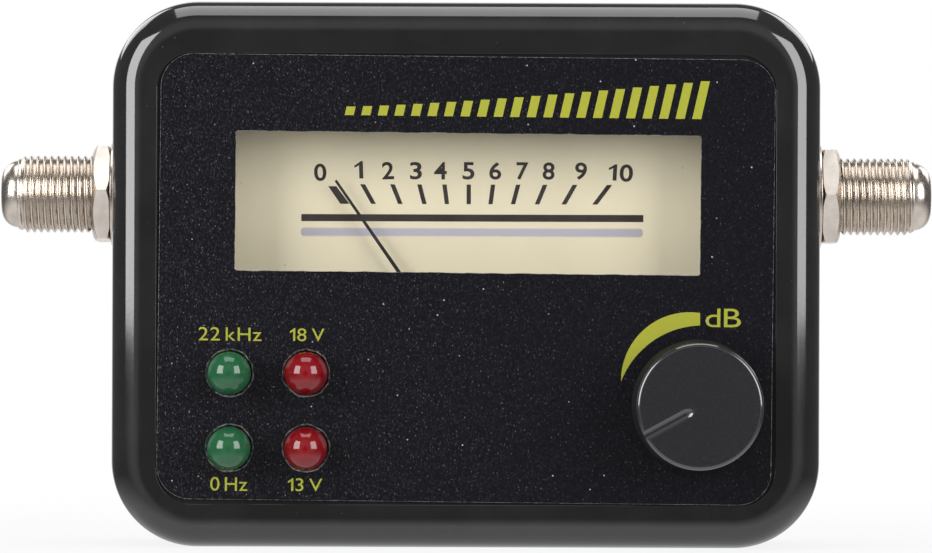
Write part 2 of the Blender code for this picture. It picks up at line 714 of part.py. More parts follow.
# Front label
def front_label():
    """Make the printed front sheet with its window and holes."""
    width = RECESS_WIDTH - 2 * LABEL_SIDE_GAP
    height = RECESS_HEIGHT - 2 * LABEL_EDGE_GAP
    front = RECESS_DEPTH - LABEL_THICKNESS - RUNNING_GAP
    twist = (0, math.radians(LABEL_TWIST_DEG), 0)
    corner = RECESS_CORNER - LABEL_EDGE_GAP
    sheet = slab(width, height, LABEL_THICKNESS, corner, INNER_CORNER_STEPS)
    label = from_bmesh("front_label", sheet, LABEL_PLASTIC, at(0, front, RECESS_Z), twist)

    window = slab(WINDOW_WIDTH, WINDOW_HEIGHT, LABEL_THICKNESS + 2 * OVERRUN, WINDOW_CORNER, 2)
    cut(label, "window", window, at(WINDOW_SHIFT, front - OVERRUN, WINDOW_Z), twist)
    cut(label, "face_holes", face_holes(front, front + LABEL_THICKNESS), at(0, 0, 0))


# Lamps
def lamps():
    """Make the four domed lamps, each with its two legs through the board."""
    dome = arc(0, LAMP_HEIGHT - LAMP_RADIUS, LAMP_RADIUS, 90, 0, DOME_STEPS)
    profile = [(0, LAMP_HEIGHT)] + dome[1:] + [
        (LAMP_RADIUS, LAMP_FLANGE_HEIGHT), (LAMP_FLANGE_RADIUS, LAMP_FLANGE_HEIGHT),
        (LAMP_FLANGE_RADIUS, 0), (0, 0),
    ]
    half = LEG_THICKNESS / 2
    tail = BOARD_BACK + LEG_TAIL - LAMP_BASE
    legs = [
        (
            (side * LEG_PITCH / 2 - half, -LAMP_FLANGE_HEIGHT / 2, -half),
            (side * LEG_PITCH / 2 + half, tail, half),
        )
        for side in (-1, 1)
    ]
    for name, (x, z) in LAMP_PLACES.items():
        lens = GREEN_LENS if "green" in name else RED_LENS
        lamp = turned(name, profile, lens, at(x, LAMP_BASE, z), steps=HOLE_STEPS)
        join(lamp, "legs", boxes(legs), at(x, LAMP_BASE, z))


# Knob and potentiometer
def knob_axis():
    """Place an empty on the knob's axis, turned to the pointer's rest angle."""
    axis = bpy.data.objects.new("knob_axis", None)
    PARTS.objects.link(axis)
    axis.location = at(KNOB_X, 0, KNOB_Z)
    axis.rotation_euler = (0, math.radians(POINTER_DEG), 0)
    return axis


def knob(axis):
    """Make the knob: tapered skirt, flat face with a pointer groove, and a hub on the shaft."""
    height = KNOB_PROUD - KNOB_LIFT
    roof = height - KNOB_ROOF
    bore = SHAFT_RADIUS + RUNNING_GAP
    edge = arc(KNOB_TOP_RADIUS - KNOB_EDGE, height - KNOB_EDGE, KNOB_EDGE, 90, 0, 2)
    profile = [(0, height)] + edge + [
        (KNOB_BASE_RADIUS, 0), (KNOB_BASE_RADIUS - KNOB_WALL, 0), (KNOB_TOP_RADIUS - KNOB_WALL, roof),
        (KNOB_HUB_RADIUS, roof), (KNOB_HUB_RADIUS, 0), (bore, 0), (bore, roof), (0, roof),
    ]
    cap = turned("knob", profile, KNOB_PLASTIC, (0, -KNOB_LIFT, 0), FACING_FRONT, BIG_STEPS, parent=axis)
    reach = KNOB_TOP_RADIUS + OVERRUN - POINTER_START
    corner = POINTER_WIDTH * POINTER_END_SHARE
    groove = slab(POINTER_WIDTH, reach, POINTER_DEPTH + OVERRUN, corner)
    place = (0, -KNOB_PROUD - OVERRUN, POINTER_START + reach / 2)
    cut(cap, "groove", groove, place, parent=axis)


def potentiometer(axis):
    """Make the potentiometer: housing, faceplate, shaft, wiper and resistance track."""
    housing = from_bmesh(
        "pot_housing", slab(POT_SIZE, POT_SIZE, POT_HOUSING_DEPTH, POT_CORNER), BASE_PLASTIC,
        at(KNOB_X, POT_FRONT, KNOB_Z),
    )
    cavity = rods([(0, 0)], POT_CAVITY_RADIUS, -OVERRUN, POT_CAVITY_DEPTH)
    cut(housing, "cavity", cavity, at(KNOB_X, POT_FRONT, KNOB_Z))

    plate = from_bmesh(
        "pot_faceplate", slab(POT_SIZE, POT_SIZE, POT_PLATE, POT_CORNER), TINPLATE,
        at(KNOB_X, PLATE_FRONT, KNOB_Z),
    )
    bushing = rods([(0, 0)], POT_BUSHING_RADIUS, -POT_BUSHING_LENGTH, POT_PLATE / 2)
    join(plate, "bushing", bushing, at(KNOB_X, PLATE_FRONT, KNOB_Z))
    inner = POT_SIZE / 2 + SEAT
    outer = inner + POT_LUG_SHEET
    lugs = [
        (
            (min(side * (POT_SIZE / 2 - BITE), side * outer), 0, -POT_LUG_WIDTH / 2),
            (max(side * (POT_SIZE / 2 - BITE), side * outer), POT_PLATE, POT_LUG_WIDTH / 2),
        )
        for side in (-1, 1)
    ]
    join(plate, "shoulders", boxes(lugs), at(KNOB_X, PLATE_FRONT, KNOB_Z))
    tail = BOARD_BACK + POT_TAIL - PLATE_FRONT
    legs = [
        (
            (min(side * inner, side * outer), POT_PLATE / 2, -POT_LUG_WIDTH / 2),
            (max(side * inner, side * outer), tail, POT_LUG_WIDTH / 2),
        )
        for side in (-1, 1)
    ]
    join(plate, "legs", boxes(legs), at(KNOB_X, PLATE_FRONT, KNOB_Z))
    bore = rods([(0, 0)], SHAFT_RADIUS + RUNNING_GAP, -POT_BUSHING_LENGTH - OVERRUN, POT_PLATE + OVERRUN)
    cut(plate, "bore", bore, at(KNOB_X, PLATE_FRONT, KNOB_Z))

    top = SHAFT_BACK + KNOB_PROUD - KNOB_ROOF - SEAT
    chamfer = SHAFT_CHAMFER
    profile = [
        (0, top), (SHAFT_RADIUS - chamfer, top), (SHAFT_RADIUS, top - chamfer), (SHAFT_RADIUS, 0),
        (SHAFT_STUB_RADIUS, 0), (SHAFT_STUB_RADIUS, -SHAFT_STUB_LENGTH), (0, -SHAFT_STUB_LENGTH),
    ]
    shaft = turned("pot_shaft", profile, WHITE_PLASTIC, (0, SHAFT_BACK, 0), steps=HOLE_STEPS, parent=axis)
    flat = boxes([
        ((-2 * SHAFT_RADIUS, -KNOB_PROUD, SHAFT_FLAT), (2 * SHAFT_RADIUS, -KNOB_LIFT, 2 * SHAFT_RADIUS))
    ])
    cut(shaft, "flat", flat, (0, 0, 0), parent=axis)

    stub = SHAFT_STUB_RADIUS + RUNNING_GAP
    wiper_back = SHAFT_BACK + SEAT + WIPER_SHEET
    wiper = turned(
        "pot_wiper", ring_profile(stub, WIPER_RADIUS, 0, WIPER_SHEET), BRASS, (0, wiper_back, 0),
        steps=HOLE_STEPS, ring=True, parent=axis,
    )
    spare = WIPER_RADIUS + OVERRUN
    back = OVERRUN + WIPER_SHEET
    arm = WIPER_RADIUS * WIPER_ARM_SHARE
    relief = boxes([
        (
            (min(side * spare, side * TRACK_INNER_RADIUS), -OVERRUN, -spare),
            (max(side * spare, side * TRACK_INNER_RADIUS), back, arm),
        )
        for side in (-1, 1)
    ])
    cut(wiper, "relief", relief, (0, SHAFT_BACK + SEAT, 0), parent=axis)

    floor = POT_FRONT + POT_CAVITY_DEPTH
    turned(
        "pot_track", ring_profile(TRACK_INNER_RADIUS, TRACK_OUTER_RADIUS, 0, TRACK_SHEET), CARBON,
        at(KNOB_X, floor - SEAT, KNOB_Z), steps=HOLE_STEPS, ring=True,
    )


# Meter housing and dial
def meter_cover():
    """Make the clear cover: a wide box over the dial, with a narrower box over the movement."""
    depth = BASE_FRONT - SEAT - COVER_FRONT
    middle_x = (METER_LEFT + METER_RIGHT) / 2
    middle_z = (METER_LOW + METER_TOP) / 2
    wide = METER_RIGHT - METER_LEFT
    tall = METER_TOP - METER_LOW
    edge = COVER_WALL / 2
    cover = from_bmesh(
        "meter_cover", slab(wide, tall, depth, COVER_WALL, SMALL_CORNER_STEPS, edge), CLEAR_PLASTIC,
        at(middle_x, COVER_FRONT, middle_z),
    )
    low_tall = METER_LOW + COVER_WALL + BITE - CUP_LOW
    low_middle = CUP_LOW + low_tall / 2
    low_box = slab(2 * CUP_HALF_WIDTH, low_tall, depth, COVER_WALL, SMALL_CORNER_STEPS, edge)
    join(cover, "low_box", low_box, at(PIVOT_X, COVER_FRONT, low_middle))

    inside = depth + OVERRUN
    wide_hollow = slab(wide - 2 * COVER_WALL, tall - 2 * COVER_WALL, inside, edge, 2)
    cut(cover, "wide_hollow", wide_hollow, at(middle_x, PANE_BACK, middle_z))
    hollow_low = CUP_LOW + COVER_WALL
    hollow_tall = METER_LOW + 2 * COVER_WALL + BITE - hollow_low
    low_hollow = slab(2 * (CUP_HALF_WIDTH - COVER_WALL), hollow_tall, inside, edge, 2)
    cut(cover, "low_hollow", low_hollow, at(PIVOT_X, PANE_BACK, hollow_low + hollow_tall / 2))


def meter_base():
    """Make the moulded base: a flat tray behind the dial with a deep cup for the movement."""
    middle_x = (METER_LEFT + METER_RIGHT) / 2
    middle_z = (METER_LOW + METER_TOP) / 2
    tray = slab(METER_RIGHT - METER_LEFT, METER_TOP - METER_LOW, BASE_SHEET, COVER_WALL)
    base = from_bmesh("meter_base", tray, BASE_PLASTIC, at(middle_x, BASE_FRONT, middle_z))
    cup = slab(2 * CUP_HALF_WIDTH, 2 * CUP_HALF_HEIGHT, CUP_BACK - BASE_FRONT, CUP_CORNER, SMALL_CORNER_STEPS)
    join(base, "cup", cup, at(PIVOT_X, BASE_FRONT, PIVOT_Z))
    join(base, "lugs", rods(LUG_PLACES, LUG_RADIUS, BASE_FRONT, BASE_BACK), at(0, 0, 0))
    hollow = slab(
        2 * (CUP_HALF_WIDTH - CUP_WALL), 2 * (CUP_HALF_HEIGHT - CUP_WALL), CUP_FLOOR - BASE_FRONT + OVERRUN,
        CUP_CORNER - CUP_WALL, 2,
    )
    cut(base, "hollow", hollow, at(PIVOT_X, BASE_FRONT - OVERRUN, PIVOT_Z))
    front = BASE_FRONT - OVERRUN
    back = BASE_BACK + OVERRUN
    holes = rods(LUG_PLACES, METER_SCREW_RADIUS + SEAT, front, back, SMALL_STEPS)
    rods(DIAL_SCREW_PLACES, DIAL_SCREW_RADIUS + RUNNING_GAP, front, back, SMALL_STEPS, holes)
    cut(base, "screw_holes", holes, at(0, 0, 0))


def meter_screws():
    """Make the two screws that hold the meter base to the front shell."""
    profile = screw_profile(METER_SCREW_RADIUS, METER_SCREW_LENGTH, METER_HEAD_RADIUS, METER_HEAD_HEIGHT)
    for side, (x, z) in zip(SIDES, LUG_PLACES):
        turned(f"meter_screw_{side}", profile, STEEL, at(x, BASE_BACK + SEAT, z), FACING_REAR, SMALL_STEPS)


def dial_plate():
    """Make the dial plate, with an arc cut from its lower edge to clear the movement."""
    inset = COVER_WALL + DIAL_GAP
    width = METER_RIGHT - METER_LEFT - 2 * inset
    height = METER_TOP - METER_LOW - 2 * inset
    place = at((METER_LEFT + METER_RIGHT) / 2, DIAL_FRONT, (METER_LOW + METER_TOP) / 2)
    plate = from_bmesh("dial_plate", slab(width, height, DIAL_SHEET, COVER_WALL), DIAL_PAINT, place)
    front = DIAL_FRONT - OVERRUN
    back = DIAL_FRONT + DIAL_SHEET + OVERRUN
    cut(plate, "arc", rods([(PIVOT_X, PIVOT_Z)], DIAL_ARC_RADIUS, front, back, ROUND_STEPS), at(0, 0, 0))
    holes = rods(DIAL_SCREW_PLACES, DIAL_SCREW_RADIUS + SEAT, front, back, SMALL_STEPS)
    cut(plate, "screw_holes", holes, at(0, 0, 0))


def dial_screws():
    """Make the two small screws that hold the dial plate to the base."""
    length = SEAT + DIAL_SHEET + SEAT + BASE_SHEET
    profile = screw_profile(DIAL_SCREW_RADIUS, length, DIAL_HEAD_RADIUS, DIAL_HEAD_HEIGHT)
    for side, (x, z) in zip(SIDES, DIAL_SCREW_PLACES):
        turned(f"dial_screw_{side}", profile, STEEL, at(x, DIAL_FRONT - SEAT, z), steps=SMALL_STEPS)


# Moving coil movement
def magnet_and_yoke():
    """Make the round magnet core, the steel yoke round it, and the strap that carries the core."""
    core = rods([(0, 0)], CORE_RADIUS, 0, CORE_LENGTH, ROUND_STEPS)
    from_bmesh("magnet_core", core, MAGNET, at(PIVOT_X, CORE_FRONT, PIVOT_Z))

    profile = ring_profile(YOKE_INNER_RADIUS, YOKE_OUTER_RADIUS, 0, CORE_LENGTH)
    yoke = turned("yoke_ring", profile, STEEL, at(PIVOT_X, CORE_BACK, PIVOT_Z), ring=True)
    inner = YOKE_OUTER_RADIUS - BITE
    ear_front = ear_depth()
    ears = boxes([
        (
            (min(side * inner, side * EAR_HALF_WIDTH), ear_front, -EAR_STRIP / 2),
            (max(side * inner, side * EAR_HALF_WIDTH), ear_front + EAR_SHEET, EAR_STRIP / 2),
        )
        for side in (-1, 1)
    ])
    join(yoke, "ears", ears, at(PIVOT_X, 0, PIVOT_Z))
    holes = rods(
        [(-BRIDGE_SCREW_X, 0), (BRIDGE_SCREW_X, 0)], BRIDGE_SCREW_RADIUS + RUNNING_GAP,
        ear_front - SEAT, ear_front + EAR_SHEET + SEAT, SMALL_STEPS,
    )
    cut(yoke, "screw_holes", holes, at(PIVOT_X, 0, PIVOT_Z))

    length = YOKE_INNER_RADIUS + YOKE_OUTER_RADIUS
    strap = slab(STRAP_WIDTH, length, STRAP_SHEET, STRAP_CORNER)
    from_bmesh("core_strap", strap, BRASS, at(PIVOT_X, STRAP_FRONT, PIVOT_Z))


def ear_depth():
    """Give the depth of the front of the yoke's ears."""
    return CORE_FRONT + (CORE_LENGTH - EAR_SHEET) / 2


def bridge(name, foot_depth, bar_depth):
    """Make a bent brass bridge that carries a jewel screw over the coil."""
    leg = BRIDGE_HALF_WIDTH - BRIDGE_SHEET / 2
    toe = BRIDGE_HALF_WIDTH - FOOT_REACH - BRIDGE_SHEET
    path = [
        (-toe, foot_depth), (-leg, foot_depth), (-leg, bar_depth),
        (leg, bar_depth), (leg, foot_depth), (toe, foot_depth),
    ]
    piece = strip(name, path, BRIDGE_STRIP, BRIDGE_SHEET, BRASS, at(PIVOT_X, 0, PIVOT_Z))
    reach = BRIDGE_SHEET / 2 + SEAT / 2
    jewel = rods([(0, 0)], JEWEL_RADIUS + RUNNING_GAP, bar_depth - reach, bar_depth + reach, SMALL_STEPS)
    cut(piece, "jewel_hole", jewel, at(PIVOT_X, 0, PIVOT_Z))
    places = [(-BRIDGE_SCREW_X, 0), (BRIDGE_SCREW_X, 0)]
    holes = rods(
        places, BRIDGE_SCREW_RADIUS + RUNNING_GAP, foot_depth - reach, foot_depth + reach, SMALL_STEPS
    )
    cut(piece, "screw_holes", holes, at(PIVOT_X, 0, PIVOT_Z))


def bridges():
    """Make both bridges, the screws that clamp them to the yoke, and the jewel screws."""
    ear_front = ear_depth()
    front_foot = ear_front - SEAT - BRIDGE_SHEET / 2
    rear_foot = ear_front + EAR_SHEET + SEAT + BRIDGE_SHEET / 2
    bridge("front_bridge", front_foot, BRIDGE_FRONT + BRIDGE_SHEET / 2)
    bridge("rear_bridge", rear_foot, REAR_BRIDGE_FRONT + BRIDGE_SHEET / 2)

    under_head = front_foot - BRIDGE_SHEET / 2 - RUNNING_GAP
    length = rear_foot + BRIDGE_SHEET - under_head
    profile = screw_profile(BRIDGE_SCREW_RADIUS, length, BRIDGE_HEAD_RADIUS, BRIDGE_HEAD_HEIGHT)
    for side, sign in SIDES.items():
        place = at(PIVOT_X + sign * BRIDGE_SCREW_X, under_head, PIVOT_Z)
        turned(f"bridge_screw_{side}", profile, STEEL, place, steps=SMALL_STEPS)

    for name, depth, facing in (
        ("front_jewel_screw", BRIDGE_FRONT + BRIDGE_SHEET, FACING_FRONT),
        ("rear_jewel_screw", REAR_BRIDGE_FRONT, FACING_REAR),
    ):
        height = BRIDGE_SHEET + RUNNING_GAP
        outline = [(0, height), (JEWEL_RADIUS, height), (JEWEL_RADIUS, 0), (0, 0)]
        place = at(PIVOT_X, depth, PIVOT_Z)
        jewel = turned(name, outline, BRASS, place, facing, SMALL_STEPS)
        half = JEWEL_SLOT / 2
        reach = 2 * JEWEL_RADIUS
        slot = boxes([((-reach, -half, height - JEWEL_SLOT), (reach, half, height + SEAT))])
        cut(jewel, "slot", slot, place, facing)


def needle_axis():
    """Place an empty on the needle's axis, turned to the needle's rest angle."""
    axis = bpy.data.objects.new("needle_axis", None)
    PARTS.objects.link(axis)
    axis.location = at(PIVOT_X, 0, PIVOT_Z)
    axis.rotation_euler = (0, math.radians(NEEDLE_REST_DEG), 0)
    return axis


def moving_coil(axis):
    """Make the coil: a flat rectangular winding round the core, square to the needle."""
    half = COIL_INNER_HALF + COIL_SIDE
    length = COIL_BACK - COIL_FRONT
    bm = slab(2 * half, COIL_WIDTH, length)
    coil = from_bmesh("moving_coil", bm, COPPER, (0, COIL_FRONT, 0), parent=axis)
    width = COIL_WIDTH + 2 * OVERRUN
    opening = slab(2 * COIL_INNER_HALF, width, length - 2 * COIL_END)
    cut(coil, "opening", opening, (0, COIL_FRONT + COIL_END, 0), parent=axis)
    bevel = coil.modifiers.new("Round", "BEVEL")
    bevel.width = COIL_ROUND
    bevel.segments = 1
    bevel.limit_method = "ANGLE"


def pivots(axis):
    """Make the two steel pivots on the ends of the coil, each with a collar for its spring."""
    tip = PIVOT_RADIUS
    front_length = COIL_FRONT - RUNNING_GAP - (BRIDGE_FRONT + BRIDGE_SHEET + RUNNING_GAP)
    collar_low = COIL_DROP
    front = [
        (0, front_length), (PIVOT_RADIUS / 4, front_length), (PIVOT_RADIUS, front_length - tip),
        (PIVOT_RADIUS, collar_low + COLLAR_HEIGHT), (COLLAR_RADIUS, collar_low + COLLAR_HEIGHT),
        (COLLAR_RADIUS, 0), (0, 0),
    ]
    turned("front_pivot", front, STEEL, (0, COIL_FRONT - RUNNING_GAP, 0), steps=SMALL_STEPS, parent=axis)
    rear_length = SPRING_SPACE - 2 * RUNNING_GAP
    rear = [
        (0, rear_length), (PIVOT_RADIUS / 4, rear_length), (COLLAR_RADIUS, rear_length - tip),
        (COLLAR_RADIUS, 0), (0, 0),
    ]
    place = (0, COIL_BACK + RUNNING_GAP, 0)
    turned("rear_pivot", rear, STEEL, place, FACING_REAR, SMALL_STEPS, parent=axis)


def needle(axis):
    """Make the needle: a tapered blade, a hub on the pivot, and a tail and arms with weights."""
    blade_front = NEEDLE_FRONT + (HUB_THICKNESS - NEEDLE_SHEET) / 2
    length = NEEDLE_REACH
    bm = slab(NEEDLE_ROOT_WIDTH, length, NEEDLE_SHEET)
    narrow = NEEDLE_TIP_WIDTH / NEEDLE_ROOT_WIDTH
    for vert in bm.verts:
        if vert.co.z > 0:
            vert.co.x *= narrow
    piece = from_bmesh("needle", bm, NEEDLE_PAINT, (0, blade_front, length / 2), parent=axis)
    hub = rods([(0, 0)], HUB_RADIUS, 0, HUB_THICKNESS, SMALL_STEPS)
    join(piece, "hub", hub, (0, NEEDLE_FRONT, 0), parent=axis)
    half = ARM_WIDTH / 2
    inner = HUB_RADIUS / 2
    arms = boxes([
        ((-half, 0, -TAIL_REACH), (half, NEEDLE_SHEET, -inner)),
        ((-ARM_REACH, 0, -half), (-inner - half, NEEDLE_SHEET, half)),
        ((inner + half, 0, -half), (ARM_REACH, NEEDLE_SHEET, half)),
    ])
    join(piece, "arms", arms, (0, blade_front, 0), parent=axis)
    middle = blade_front + NEEDLE_SHEET / 2
    for label, places, radius, height in (
        ("arm_weights", [(-ARM_REACH, 0), (ARM_REACH, 0)], ARM_WEIGHT_RADIUS, ARM_WEIGHT_HEIGHT),
        ("tail_weight", [(0, -TAIL_REACH)], TAIL_WEIGHT_RADIUS, TAIL_WEIGHT_HEIGHT),
    ):
        weights = rods(places, radius, -height / 2, height / 2, SMALL_STEPS)
        join(piece, label, weights, (0, middle, 0), parent=axis)
    bore = rods([(0, 0)], PIVOT_RADIUS + RUNNING_GAP, -OVERRUN, HUB_THICKNESS + OVERRUN, SMALL_STEPS)
    cut(piece, "bore", bore, (0, NEEDLE_FRONT, 0), parent=axis)


def hairspring(name, depth):
    """Make a flat spiral spring round a pivot's collar."""
    count = int(SPRING_TURNS * SPRING_POINTS_PER_TURN)
    path = []
    for i in range(count + 1):
        share = i / count
        radius = SPRING_INNER_RADIUS + (SPRING_OUTER_RADIUS - SPRING_INNER_RADIUS) * share
        angle = 2 * math.pi * SPRING_TURNS * share
        path.append((radius * math.cos(angle), radius * math.sin(angle)))
    place = at(PIVOT_X, depth, PIVOT_Z)
    strip(name, path, SPRING_HEIGHT, SPRING_SHEET, BRASS, place, FACING_FRONT)


def hairsprings():
    """Make the two hairsprings that return the needle to zero."""
    hairspring("front_hairspring", COIL_FRONT - RUNNING_GAP - COIL_DROP - COLLAR_HEIGHT / 2)
    hairspring("rear_hairspring", COIL_BACK + SPRING_SPACE / 2)


# Circuit board and its pieces
def circuit_board():
    """Make the board: corners cleared for the bosses, an opening for the meter's cup, and its holes."""
    low = WALL + BOARD_EDGE_GAP
    height = CASE_HEIGHT - 2 * low
    bm = slab(2 * BOARD_HALF_WIDTH, height, BOARD_SHEET, CASE_CORNER / 2)
    board = from_bmesh("circuit_board", bm, BOARD_GREEN, at(0, BOARD_FRONT, CENTRE_Z))
    front = BOARD_FRONT - OVERRUN
    back = BOARD_BACK + OVERRUN
    corners = rods(BOSS_PLACES, BOSS_REAR_RADIUS + 2 * SEAT, front, back)
    cut(board, "corners", corners, at(0, 0, 0))
    half_width = CUP_HALF_WIDTH + BOARD_CUP_GAP
    half_height = CUP_HALF_HEIGHT + BOARD_CUP_GAP
    opening = slab(2 * half_width, 2 * half_height, back - front, CUP_CORNER + BOARD_CUP_GAP)
    cut(board, "cup_opening", opening, at(PIVOT_X, front, PIVOT_Z))
    legs = [
        (x + side * LEG_PITCH / 2, z) for x, z in LAMP_PLACES.values() for side in (-1, 1)
    ]
    holes = rods(legs, LEG_HOLE_RADIUS, front, back, LEG_STEPS)
    rods(BOARD_SCREW_PLACES, BOARD_SCREW_RADIUS + SEAT, front, back, SMALL_STEPS, holes)
    cut(board, "holes", holes, at(0, 0, 0))
    middle = POT_SIZE / 2 + SEAT + POT_LUG_SHEET / 2
    half_x = POT_LUG_SHEET / 2 + SEAT
    half_z = POT_LUG_WIDTH / 2 + SEAT
    slots = boxes([
        (
            (KNOB_X + side * middle - half_x, front, KNOB_Z - half_z),
            (KNOB_X + side * middle + half_x, back, KNOB_Z + half_z),
        )
        for side in (-1, 1)
    ])
    cut(board, "lug_slots", slots, at(0, 0, 0))


def board_screws():
    """Make the two screws that hold the board to its standoffs."""
    profile = screw_profile(BOARD_SCREW_RADIUS, BOARD_SCREW_LENGTH, BOARD_HEAD_RADIUS, BOARD_HEAD_HEIGHT)
    for side, (x, z) in zip(SIDES, BOARD_SCREW_PLACES):
        turned(f"board_screw_{side}", profile, STEEL, at(x, BOARD_FRONT - SEAT, z), steps=SMALL_STEPS)


def buzzer():
    """Make the buzzer: a round can with a sound hole."""
    edge = arc(BUZZER_RADIUS - BUZZER_EDGE, BUZZER_HEIGHT - BUZZER_EDGE, BUZZER_EDGE, 90, 0, 2)
    floor = BUZZER_HEIGHT - BUZZER_HOLE_DEPTH
    profile = [(0, floor), (BUZZER_HOLE_RADIUS, floor), (BUZZER_HOLE_RADIUS, BUZZER_HEIGHT)]
    profile += edge + [(BUZZER_RADIUS, 0), (0, 0)]
    place = at(CUP_LEFT - BUZZER_GAP - BUZZER_RADIUS, BOARD_FRONT - SEAT, CENTRE_Z - BUZZER_DROP)
    turned("buzzer", profile, BASE_PLASTIC, place, steps=HOLE_STEPS)


def capacitor():
    """Make the electrolytic capacitor, with the crimped groove near its foot."""
    groove = CAPACITOR_GROOVE_RISE
    waist = CAPACITOR_RADIUS - CAPACITOR_GROOVE
    profile = [
        (0, CAPACITOR_HEIGHT), (waist, CAPACITOR_HEIGHT),
        (CAPACITOR_RADIUS, CAPACITOR_HEIGHT - CAPACITOR_GROOVE),
        (CAPACITOR_RADIUS, groove + CAPACITOR_GROOVE), (waist, groove),
        (CAPACITOR_RADIUS, groove - CAPACITOR_GROOVE), (CAPACITOR_RADIUS, 0), (0, 0),
    ]
    place = at(CAPACITOR_X, BOARD_FRONT - SEAT, CASE_HEIGHT - CAPACITOR_DROP)
    turned("filter_capacitor", profile, BLACK_PLASTIC, place, steps=HOLE_STEPS)


def chip():
    """Make the chip on the back of the board, behind the shield can, with a row of legs on each side."""
    front = BOARD_BACK + SEAT
    bm = slab(CHIP_LENGTH, CHIP_WIDTH, CHIP_HEIGHT)
    piece = from_bmesh("signal_chip", bm, BASE_PLASTIC, at(0, front, PORT_Z))
    count = int((CHIP_LENGTH - CHIP_LEG_WIDTH) / CHIP_LEG_PITCH)
    first = -(count - 1) * CHIP_LEG_PITCH / 2
    half = CHIP_LEG_WIDTH / 2
    legs = []
    for i in range(count):
        x = first + i * CHIP_LEG_PITCH
        for side in (-1, 1):
            near = side * (CHIP_WIDTH / 2 - BITE)
            far = side * (CHIP_WIDTH / 2 + CHIP_LEG_LENGTH)
            legs.append(((x - half, 0, min(near, far)), (x + half, CHIP_LEG_RISE, max(near, far))))
    join(piece, "legs", boxes(legs), at(0, front, PORT_Z))


# Shield can
def shield_can():
    """Make the tinplate frame round the signal path and its clip-on lid."""
    depth = CAN_BACK - CAN_FRONT
    frame = from_bmesh(
        "shield_frame", slab(2 * CAN_HALF_LENGTH, CAN_HEIGHT, depth), TINPLATE, at(0, CAN_FRONT, PORT_Z)
    )
    opening = slab(2 * (CAN_HALF_LENGTH - CAN_SHEET), CAN_HEIGHT - 2 * CAN_SHEET, depth + 2 * OVERRUN)
    cut(frame, "opening", opening, at(0, CAN_FRONT - OVERRUN, PORT_Z))
    holes = bmesh.new()
    for side in SIDES.values():
        place = Matrix.Translation((side * (CAN_HALF_LENGTH - CAN_SHEET / 2), 0, 0))
        bmesh.ops.create_cone(
            holes, cap_ends=True, segments=HOLE_STEPS, radius1=CAN_HOLE_RADIUS, radius2=CAN_HOLE_RADIUS,
            depth=CAN_SHEET + 2 * SEAT, matrix=place @ Matrix.Rotation(SQUARE, 4, "Y"),
        )
    cut(frame, "contact_holes", holes, at(0, SPLIT_DEPTH, PORT_Z))

    top = CAN_FRONT - SEAT - LID_SHEET / 2
    half = CAN_HEIGHT / 2 + SEAT + LID_SHEET / 2
    path = [(-half, top + LID_SKIRT), (-half, top), (half, top), (half, top + LID_SKIRT)]
    length = 2 * CAN_HALF_LENGTH
    strip("shield_lid", path, length, LID_SHEET, TINPLATE, at(0, 0, PORT_Z), FACING_LEFT)


# Coaxial connectors
def port_place(side, reach):
    """Give a place on a connector's axis, at a distance out from the case's side wall."""
    return at(side * (HALF_WIDTH + reach), SPLIT_DEPTH, PORT_Z)


def connector(name, side):
    """Make one connector: threaded body, washer, hex nut, insulator and centre contact."""
    facing = FACING_RIGHT if side > 0 else FACING_LEFT
    start = -WALL - SEAT
    inner = start - PORT_FLANGE_SHEET
    thread_end = PORT_REACH - PORT_TIP_LENGTH
    tip = arc(PORT_TIP_RADIUS - PORT_TIP_ROUND, PORT_REACH - PORT_TIP_ROUND, PORT_TIP_ROUND, 90, 0, 3)
    profile = [(PORT_BORE_RADIUS, PORT_REACH)] + tip + [
        (PORT_TIP_RADIUS, thread_end), (PORT_THREAD_RADIUS - PORT_CHAMFER, thread_end),
        (PORT_THREAD_RADIUS, thread_end - PORT_CHAMFER), (PORT_THREAD_RADIUS, start),
        (PORT_FLANGE_RADIUS, start), (PORT_FLANGE_RADIUS, inner), (PORT_BORE_RADIUS, inner),
    ]
    turned(f"connector_body_{name}", profile, NICKEL, port_place(side, 0), facing, ring=True)

    bore = PORT_THREAD_RADIUS + RUNNING_GAP
    washer = ring_profile(bore, PORT_WASHER_RADIUS, 0, PORT_WASHER_SHEET)
    foot = port_place(side, RUNNING_GAP)
    turned(f"connector_washer_{name}", washer, NICKEL, foot, facing, HOLE_STEPS, ring=True)
    connector_nut(name, side, facing, bore)

    hole = CONTACT_RADIUS + RUNNING_GAP
    core = PORT_BORE_RADIUS - RUNNING_GAP
    insulator = ring_profile(hole, core, inner + INSULATOR_SINK, PORT_REACH - INSULATOR_SINK)
    centre = port_place(side, 0)
    turned(f"connector_insulator_{name}", insulator, WHITE_PLASTIC, centre, facing, HOLE_STEPS, ring=True)
    contact_top = PORT_REACH - CONTACT_SINK
    contact_low = inner - CONTACT_TAIL
    contact = [
        (0, contact_top), (CONTACT_RADIUS, contact_top), (CONTACT_RADIUS, contact_low), (0, contact_low),
    ]
    turned(f"connector_contact_{name}", contact, BRASS, centre, facing, SMALL_STEPS)


